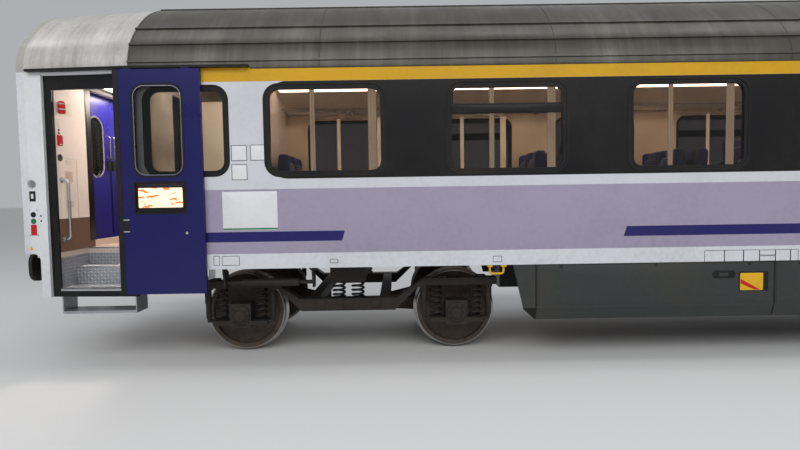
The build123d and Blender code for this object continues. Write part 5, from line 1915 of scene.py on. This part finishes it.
@dataclass
class Bogie:
    """Helical springs, box covers, dampers and pads of one bogie.

    A spring follows x = R cos 2 pi n u, y = R sin 2 pi n u and z = h u.
    """

    end: End
    centre: float = 8.6
    wheelbase: float = 2.5
    journal_y: float = 1.0
    axle_z: float = 0.488
    face_y: float = 1.095
    box_half: float = 0.23
    primary: Coil = Coil(0.428, 0.060, 0.0125, 0.380, 5.5)
    pair_half: float = 0.11
    secondary: Coil = Coil(0.668, 0.066, 0.0135, 0.200, 3.5)
    cover: Profile = (
        (-0.01, 0.112), (0.012, 0.112), (0.018, 0.104), (0.018, 0.070), (0.030, 0.062), (0.032, 0.004),
    )
    bolt: Profile = ((0.0, 0.011), (0.009, 0.011), (0.011, 0.008), (0.011, 0.001))
    bolt_ring: Triple = (0.090, 0.016, 8)
    damper: Triple = (0.375, 1.045, 0.43)
    rod: Profile = (
        (0.0, 0.020), (0.03, 0.024), (0.03, 0.030), (0.20, 0.030), (0.20, 0.038), (0.345, 0.038),
        (0.355, 0.030),
    )
    upper_pad: Triple = (0.09, 0.10, 0.03)
    upper_rise: float = 0.365
    lower_pad: Triple = (0.30, 0.07, 0.026)
    lower_shift: float = 0.35
    pad_inset: float = 0.02
    ribs: tuple[float, ...] = (-1.55, -1.1, 1.1, 1.55)
    rib: Triple = (0.10, 0.14, 0.02)
    rib_place: Pair = (1.0, 0.90)
    stops: tuple[float, ...] = (-0.32, 0.0, 0.32)
    stop: Triple = (0.12, 0.012, 0.10)
    stop_place: Pair = (1.083, 0.60)

    @staticmethod
    def spring(surface: Surface, places: Array, coil: Coil) -> None:
        """Add coil springs between their seats.

        Args:
            surface: The surface that takes them.
            places: The middles of their feet.
            coil: The form of each.
        """
        u = np.linspace(0.0, 1.0, int(coil.turns * 18) + 1)
        turn = 2 * np.pi * coil.turns * u
        lift = coil.wire + (coil.height - 2 * coil.wire) * u
        path = np.stack([coil.radius * np.cos(turn), coil.radius * np.sin(turn), lift], -1)
        surface.tube(places[:, None, :] + path, coil.wire, 8)
        rim = coil.radius + coil.wire
        seat = ((-0.004, rim), (0.008, rim), (0.010, coil.radius * 0.9), (0.010, 0.01))
        surface.turned(places, Z_AXIS, seat, 20)
        surface.turned(places + [0.0, 0.0, coil.height], (0.0, 0.0, -1.0), seat, 20)

    def build(self) -> None:
        """Make the pieces on this bogie's body."""
        letter, body = self.end.letter, f"bogie_{self.end.letter}"
        middle = self.end.value * self.centre
        axles = middle + np.array([-1, 1]) * self.wheelbase / 2
        springs, covers, bolts, dampers, pads = Surface.several(5)
        sides = (-self.journal_y, self.journal_y)
        x = [axle + step for axle in axles for step in (-self.box_half, self.box_half)]
        self.spring(springs, grid(x, sides, [self.primary.foot]), self.primary)
        x = (middle - self.pair_half, middle + self.pair_half)
        self.spring(springs, grid(x, sides, [self.secondary.foot]), self.secondary)
        radius, proud, count = self.bolt_ring
        step, damper_y, damper_z = self.damper
        for side in Side:
            out = (0.0, side.value, 0.0)
            centres = grid(axles, [side.value * self.face_y], [self.axle_z])
            covers.turned(centres, out, self.cover, 28)
            ring = np.insert(circle(radius, count), 1, side.value * proud, axis=1)
            bolts.turned(centres[:, None] + ring, out, self.bolt, 6)
            feet = grid(axles, [side.value * damper_y], [damper_z])
            inward = -side.value * self.pad_inset
            for way in (-step, step):
                dampers.turned(feet + [way, 0.0, 0.0], Z_AXIS, self.rod, 16)
                pads.block(feet + [way, inward, self.upper_rise], self.upper_pad, 0.006)
                low = [way * (1 - self.lower_shift), inward, -0.012]
                pads.block(feet + low, self.lower_pad, 0.006)
            y, z = self.rib_place
            pads.block(grid(middle + np.array(self.ribs), [side.value * y], [z]), self.rib)
            y, z = self.stop_place
            pads.block(grid(middle + np.array(self.stops), [side.value * y], [z]), self.stop, 0.003)
        piece = springs.make(f"bogie_coils_{letter}", Finishes.SPRING, "spring_steel", body, 50.0)
        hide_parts(f"coil_springs_{letter}")
        covers.make(f"axle_box_covers_{letter}", Finishes.BOGIE, "bogie_paint", body)
        bolts.make(f"axle_box_bolts_{letter}", Finishes.SPRING, "spring_steel", body, 25.0)
        dampers.make(f"primary_dampers_{letter}", Finishes.STEEL, "bogie_paint", body)
        pads.make(f"bogie_pads_{letter}", Finishes.BOGIE, "bogie_paint", body)


@dataclass
class Cases:
    """Door seams, hinges, recessed handles and the marked box of the equipment cases, whose yellow plate
    sits on a dark plate of painted shadow.
    """

    span: float = 13.03
    count: int = 5
    face: float = 1.4315
    low: float = 0.62
    high: float = 1.062
    door_gap: float = 0.042
    door_form: Form = (-0.004, 0.004, 0.02, 0.003)
    seam: Triple = (0.020, 0.006, 0.45)
    seam_edge: float = 0.002
    seam_z: float = 0.84
    hinge_steps: tuple[float, ...] = (-1.028, 0.0, 1.028)
    hinge: Triple = (0.032, 0.016, 0.024)
    hinge_out: float = 0.004
    hinge_drop: float = 0.014
    grip_place: Pair = (0.743, 0.935)
    grip: Pair = (0.254, 0.088)
    grip_form: Form = (0.002, 0.0065, 0.042, 0.001)
    cup: Pair = (0.105, 0.036)
    cup_form: Form = (0.003, 0.009, 0.012)
    # Dark plate behind the yellow plate, wider to the right and at the top: painted shadow of the
    # plate's recess.
    recess: tuple[Pair, Pair] = ((-4.142, 0.856), (0.322, 0.214))
    recess_form: Form = (0.0, 0.0052, 0.014, 0.001)
    plate: tuple[Pair, Pair] = ((-4.164, 0.852), (0.252, 0.19))
    plate_form: Form = (0.0, 0.0065, 0.012)
    stripe_levels: Pair = (0.005, 0.0075)
    stripe: tuple[Pair, ...] = ((-0.12, 0.03), (-0.12, -0.02), (0.03, -0.088), (0.09, -0.088))

    def build(self) -> None:
        """Make the details of both sides."""
        doors, hinges, cups, yellow, red, dark = Surface.several(6)
        pitch = self.span / self.count
        middles = (np.arange(self.count) - (self.count - 1) / 2) * pitch
        door = (pitch - self.door_gap, self.high - self.low)
        hinge_x = (middles[:, None] + self.hinge_steps).ravel()
        seam_x = (np.arange(self.count + 1) - self.count / 2) * pitch
        for side in Side:
            patch = side_patch(side, self.face)
            for middle in middles:
                place = (middle, (self.low + self.high) / 2)
                doors.plate(patch, place, door, *self.door_form)
                place = (middle + self.grip_place[0], self.grip_place[1])
                dark.plate(patch, place, self.grip, *self.grip_form)
                cups.plate(patch, place, self.cup, *self.cup_form)
            hinge_y = side.value * (self.face + self.hinge_out)
            hinges.block(grid(hinge_x, [hinge_y], [self.high - self.hinge_drop]), self.hinge)
            # Painted shadow: a dark plate that shows round the yellow plate, most to the right and at
            # the top.
            dark.plate(patch, *self.recess, *self.recess_form)
            yellow.plate(patch, *self.plate, *self.plate_form)
            red.prism(patch, np.array(self.stripe) + self.plate[0], *self.stripe_levels)
            seams = grid(seam_x, [side.value * self.face], [self.seam_z])
            dark.block(seams, self.seam, self.seam_edge)
        doors.make("case_doors", Finishes.CASE, "case_grey")
        hinges.make("case_hinges", Finishes.SPRING, "case_grey")
        cups.make("case_handles", Finishes.CASE, "case_grey")
        dark.make("case_recesses", Finishes.RUBBER, "frame_black")
        yellow.make("case_warning_plates", Finishes.YELLOW, "yellow_paint")
        red.make("case_warning_stripes", Finishes.RED, "lamp_red")


@dataclass
class CoachEnds:
    """Buffer collars and bolts, the screw coupling, lamp bezels and headstock sockets."""

    headstock: float = 11.83
    buffer: Pair = (0.875, 1.088)
    collar: Profile = (
        (0.20, 0.098), (0.20, 0.112), (0.225, 0.116), (0.33, 0.116), (0.342, 0.108), (0.342, 0.070),
    )
    bolt_half: Pair = (0.12, 0.095)
    bolt: Profile = ((0.0, 0.017), (0.016, 0.017), (0.019, 0.012), (0.019, 0.001))
    hook: float = 12.185
    link: tuple[Pair, ...] = ((0.045, 1.125), (0.055, 0.93), (0.05, 0.80))
    screw_half: float = 0.13
    shackle: Triple = (0.10, 0.80, 0.60)
    lamp: Triple = (12.14, 1.08, 1.778)
    bezel: Profile = (
        (-0.04, 0.086), (-0.04, 0.100), (0.0, 0.098), (0.006, 0.090), (0.004, 0.074),
    )
    lens: Profile = (
        (-0.01, 0.076), (0.004, 0.074), (0.012, 0.055), (0.016, 0.030), (0.017, 0.002),
    )
    socket: Triple = (0.03, 0.48, 1.02)
    socket_size: Triple = (0.06, 0.16, 0.13)
    cap: Profile = ((0.0, 0.05), (0.03, 0.05), (0.035, 0.04), (0.035, 0.004))

    def coupling(self, links: Surface, x: float) -> None:
        """Add the screw coupling below one hook: link, screw and shackle.

        Args:
            links: The surface that takes it.
            x: Where the hook is.
        """
        left = [[x, -y, z] for y, z in self.link]
        right = [[x, y, z] for y, z in self.link[::-1]]
        links.tube(bent(left + right, 0.03, 5), 0.014, 10, X_AXIS)
        half, top, low = self.shackle
        screw = straight((x, -self.screw_half, top), (x, self.screw_half, top))
        links.tube(screw, 0.022, 12, X_AXIS)
        shackle = [[x, -half, top], [x, -half, low], [x, half, low], [x, half, top]]
        links.tube(bent(shackle, 0.05), 0.015, 10, X_AXIS)

    def build(self) -> None:
        """Make the fittings of both ends."""
        collars, bolts, links, bezels, lenses, sockets = Surface.several(6)
        buffer_y, buffer_z = self.buffer
        wide, tall = self.bolt_half
        for end in End:
            out = (end.value, 0.0, 0.0)
            x = end.value * self.headstock
            centres = grid([x], [-buffer_y, buffer_y], [buffer_z])
            collars.turned(centres, out, self.collar, 26)
            corners = grid([end.value * 0.024], [-wide, wide], [-tall, tall])
            bolts.turned(centres[:, None] + corners, out, self.bolt, 6)
            self.coupling(links, end.value * self.hook)
            lamp_x, lamp_y, lamp_z = self.lamp
            lamps = grid([end.value * lamp_x], [-lamp_y, lamp_y], [lamp_z])
            bezels.turned(lamps, out, self.bezel, 30)
            lenses.turned(lamps, out, self.lens, 26)
            deep, socket_y, socket_z = self.socket
            places = grid([x + end.value * deep], [-socket_y, socket_y], [socket_z])
            sockets.block(places, self.socket_size, 0.008)
            sockets.turned(places + [end.value * deep, 0.0, 0.0], out, self.cap, 20)
        collars.make("buffer_collars", Finishes.STEEL, "frame_steel")
        bolts.make("buffer_bolts", Finishes.SPRING, "frame_steel", angle=25.0)
        links.make("screw_coupling", Finishes.IRON, "cast_iron")
        bezels.make("tail_lamp_bezels", Finishes.FRAME, "frame_black")
        lenses.make("tail_lamp_lenses", Finishes.LAMP_RED, "lamp_red")
        sockets.make("headstock_sockets", Finishes.FRAME, "frame_black")


@dataclass
class Studio:
    """Floor, light and the camera at the photograph's angle."""

    camera_place: Triple = (-8.0104, -7.2674, 1.8504)
    yaw: float = -0.205
    pitch: float = -3.155
    roll: float = 0.887
    lens: float = 24.3
    sensor: float = 36.0
    sight: float = 500.0
    floor_reach: float = 140.0
    floor_colour: Colour = (0.72, 0.72, 0.71)
    sky: Box = (0.93, 0.95, 1.0, 1.0)
    sky_strength: float = 0.45
    lamps: tuple[tuple[str, Triple, Triple, Pair, float], ...] = (
        ("key", (-6.0, -15.0, 11.0), (52.0, 0.0, -8.0), (26.0, 8.0), 1750.0),
        ("back", (4.0, 16.0, 9.0), (-60.0, 0.0, 0.0), (26.0, 8.0), 800.0),
        ("top", (-3.0, -1.2, 10.5), (0.0, 0.0, 0.0), (30.0, 1.6), 420.0),
    )

    def camera(self) -> None:
        """Turn a camera that looks along +Y by yaw to the left, pitch up and roll clockwise."""
        data = bpy.data.cameras.new("camera")
        data.lens = self.lens
        data.sensor_width = self.sensor
        data.clip_end = self.sight
        yaw, pitch, roll = (math.radians(v) for v in (self.yaw, self.pitch, self.roll))
        forward = np.array(
            [-math.sin(yaw) * math.cos(pitch), math.cos(yaw) * math.cos(pitch), math.sin(pitch)]
        )
        level = np.array([math.cos(yaw), math.sin(yaw), 0.0])
        upright = np.cross(level, forward)
        right = level * math.cos(roll) - upright * math.sin(roll)
        up = level * math.sin(roll) + upright * math.cos(roll)
        turn = np.eye(4)
        turn[:3, 0], turn[:3, 1], turn[:3, 2] = right, up, -forward
        turn[:3, 3] = self.camera_place
        camera = bpy.data.objects.new("camera", data)
        camera.matrix_world = Matrix(turn.tolist())
        bpy.context.scene.collection.objects.link(camera)
        bpy.context.scene.camera = camera

    def floor(self) -> None:
        """A plain pale floor, which the glossy and see-through rays meet as well."""
        mesh = bpy.data.meshes.new("floor")
        reach = self.floor_reach
        corners = [(-reach, -reach, 0), (reach, -reach, 0), (reach, reach, 0), (-reach, reach, 0)]
        mesh.from_pydata(corners, [], [(0, 1, 2, 3)])
        floor = bpy.data.objects.new("floor", mesh)
        bpy.context.scene.collection.objects.link(floor)
        graph = Graph("studio_floor")
        graph.put(Base_Color=self.floor_colour, Roughness=0.85)
        mesh.materials.append(graph.material)

    @staticmethod
    def lamp(name: str, place: Triple, turn: Triple, size: Pair, power: float) -> None:
        """Add one soft area lamp.

        Args:
            name: Name of the lamp.
            place: Where it stands, in metres.
            turn: Its rotation in degrees; unturned, it shines down.
            size: Width and height in metres.
            power: Its power in watts.
        """
        data = bpy.data.lights.new(name, "AREA")
        data.shape = "RECTANGLE"
        data.size, data.size_y = size
        data.energy = power
        lamp = bpy.data.objects.new(name, data)
        lamp.location = place
        lamp.rotation_euler = [math.radians(v) for v in turn]
        bpy.context.scene.collection.objects.link(lamp)

    def light(self) -> None:
        """A pale even sky with soft lamps above and in front."""
        world = bpy.data.worlds.new("studio")
        world.use_nodes = True
        background = world.node_tree.nodes["Background"]
        background.inputs[0].default_value = self.sky
        background.inputs[1].default_value = self.sky_strength
        bpy.context.scene.world = world
        for lamp in self.lamps:
            self.lamp(*lamp)

    def build(self) -> None:
        """Set the view transform, then add the camera, the floor and the light."""
        bpy.context.scene.view_settings.view_transform = "Standard"
        self.camera()
        self.floor()
        self.light()


def dress_nodes(nodes: dict[str, bpy.types.Object]) -> None:
    """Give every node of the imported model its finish.

    Args:
        nodes: The nodes by name.
    """
    for name, node in nodes.items():
        material = FINISH_OF[name].value.material()
        if node.data.materials:
            for place in range(len(node.data.materials)):
                node.data.materials[place] = material
        else:
            node.data.materials.append(material)
    LOG.info("dressed %d nodes", len(nodes))


def corners(bounds: object) -> list[list[float]]:
    """Plain lists of a bounding box's two corners."""
    return [[float(v) for v in corner] for corner in bounds]


def main() -> None:
    """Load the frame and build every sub-assembly."""
    logging.basicConfig(level=logging.INFO)
    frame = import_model()
    Studio().build()
    dress_nodes(frame["nodes"])
    for assembly in (
        Windows(),
        Roof(),
        EntranceLeaves(),
        PillarControls(),
        Signs(),
        Seats(),
        Curtains(),
        Saloon(),
        Gangway(),
        Steps(),
        Rails(),
        LiningFittings(),
        Cases(),
        CoachEnds(),
        Bogie(End.A),
        Bogie(End.B),
    ):
        assembly.build()
        LOG.info("built %s", type(assembly).__name__)


if __name__ == "__main__":
    main()
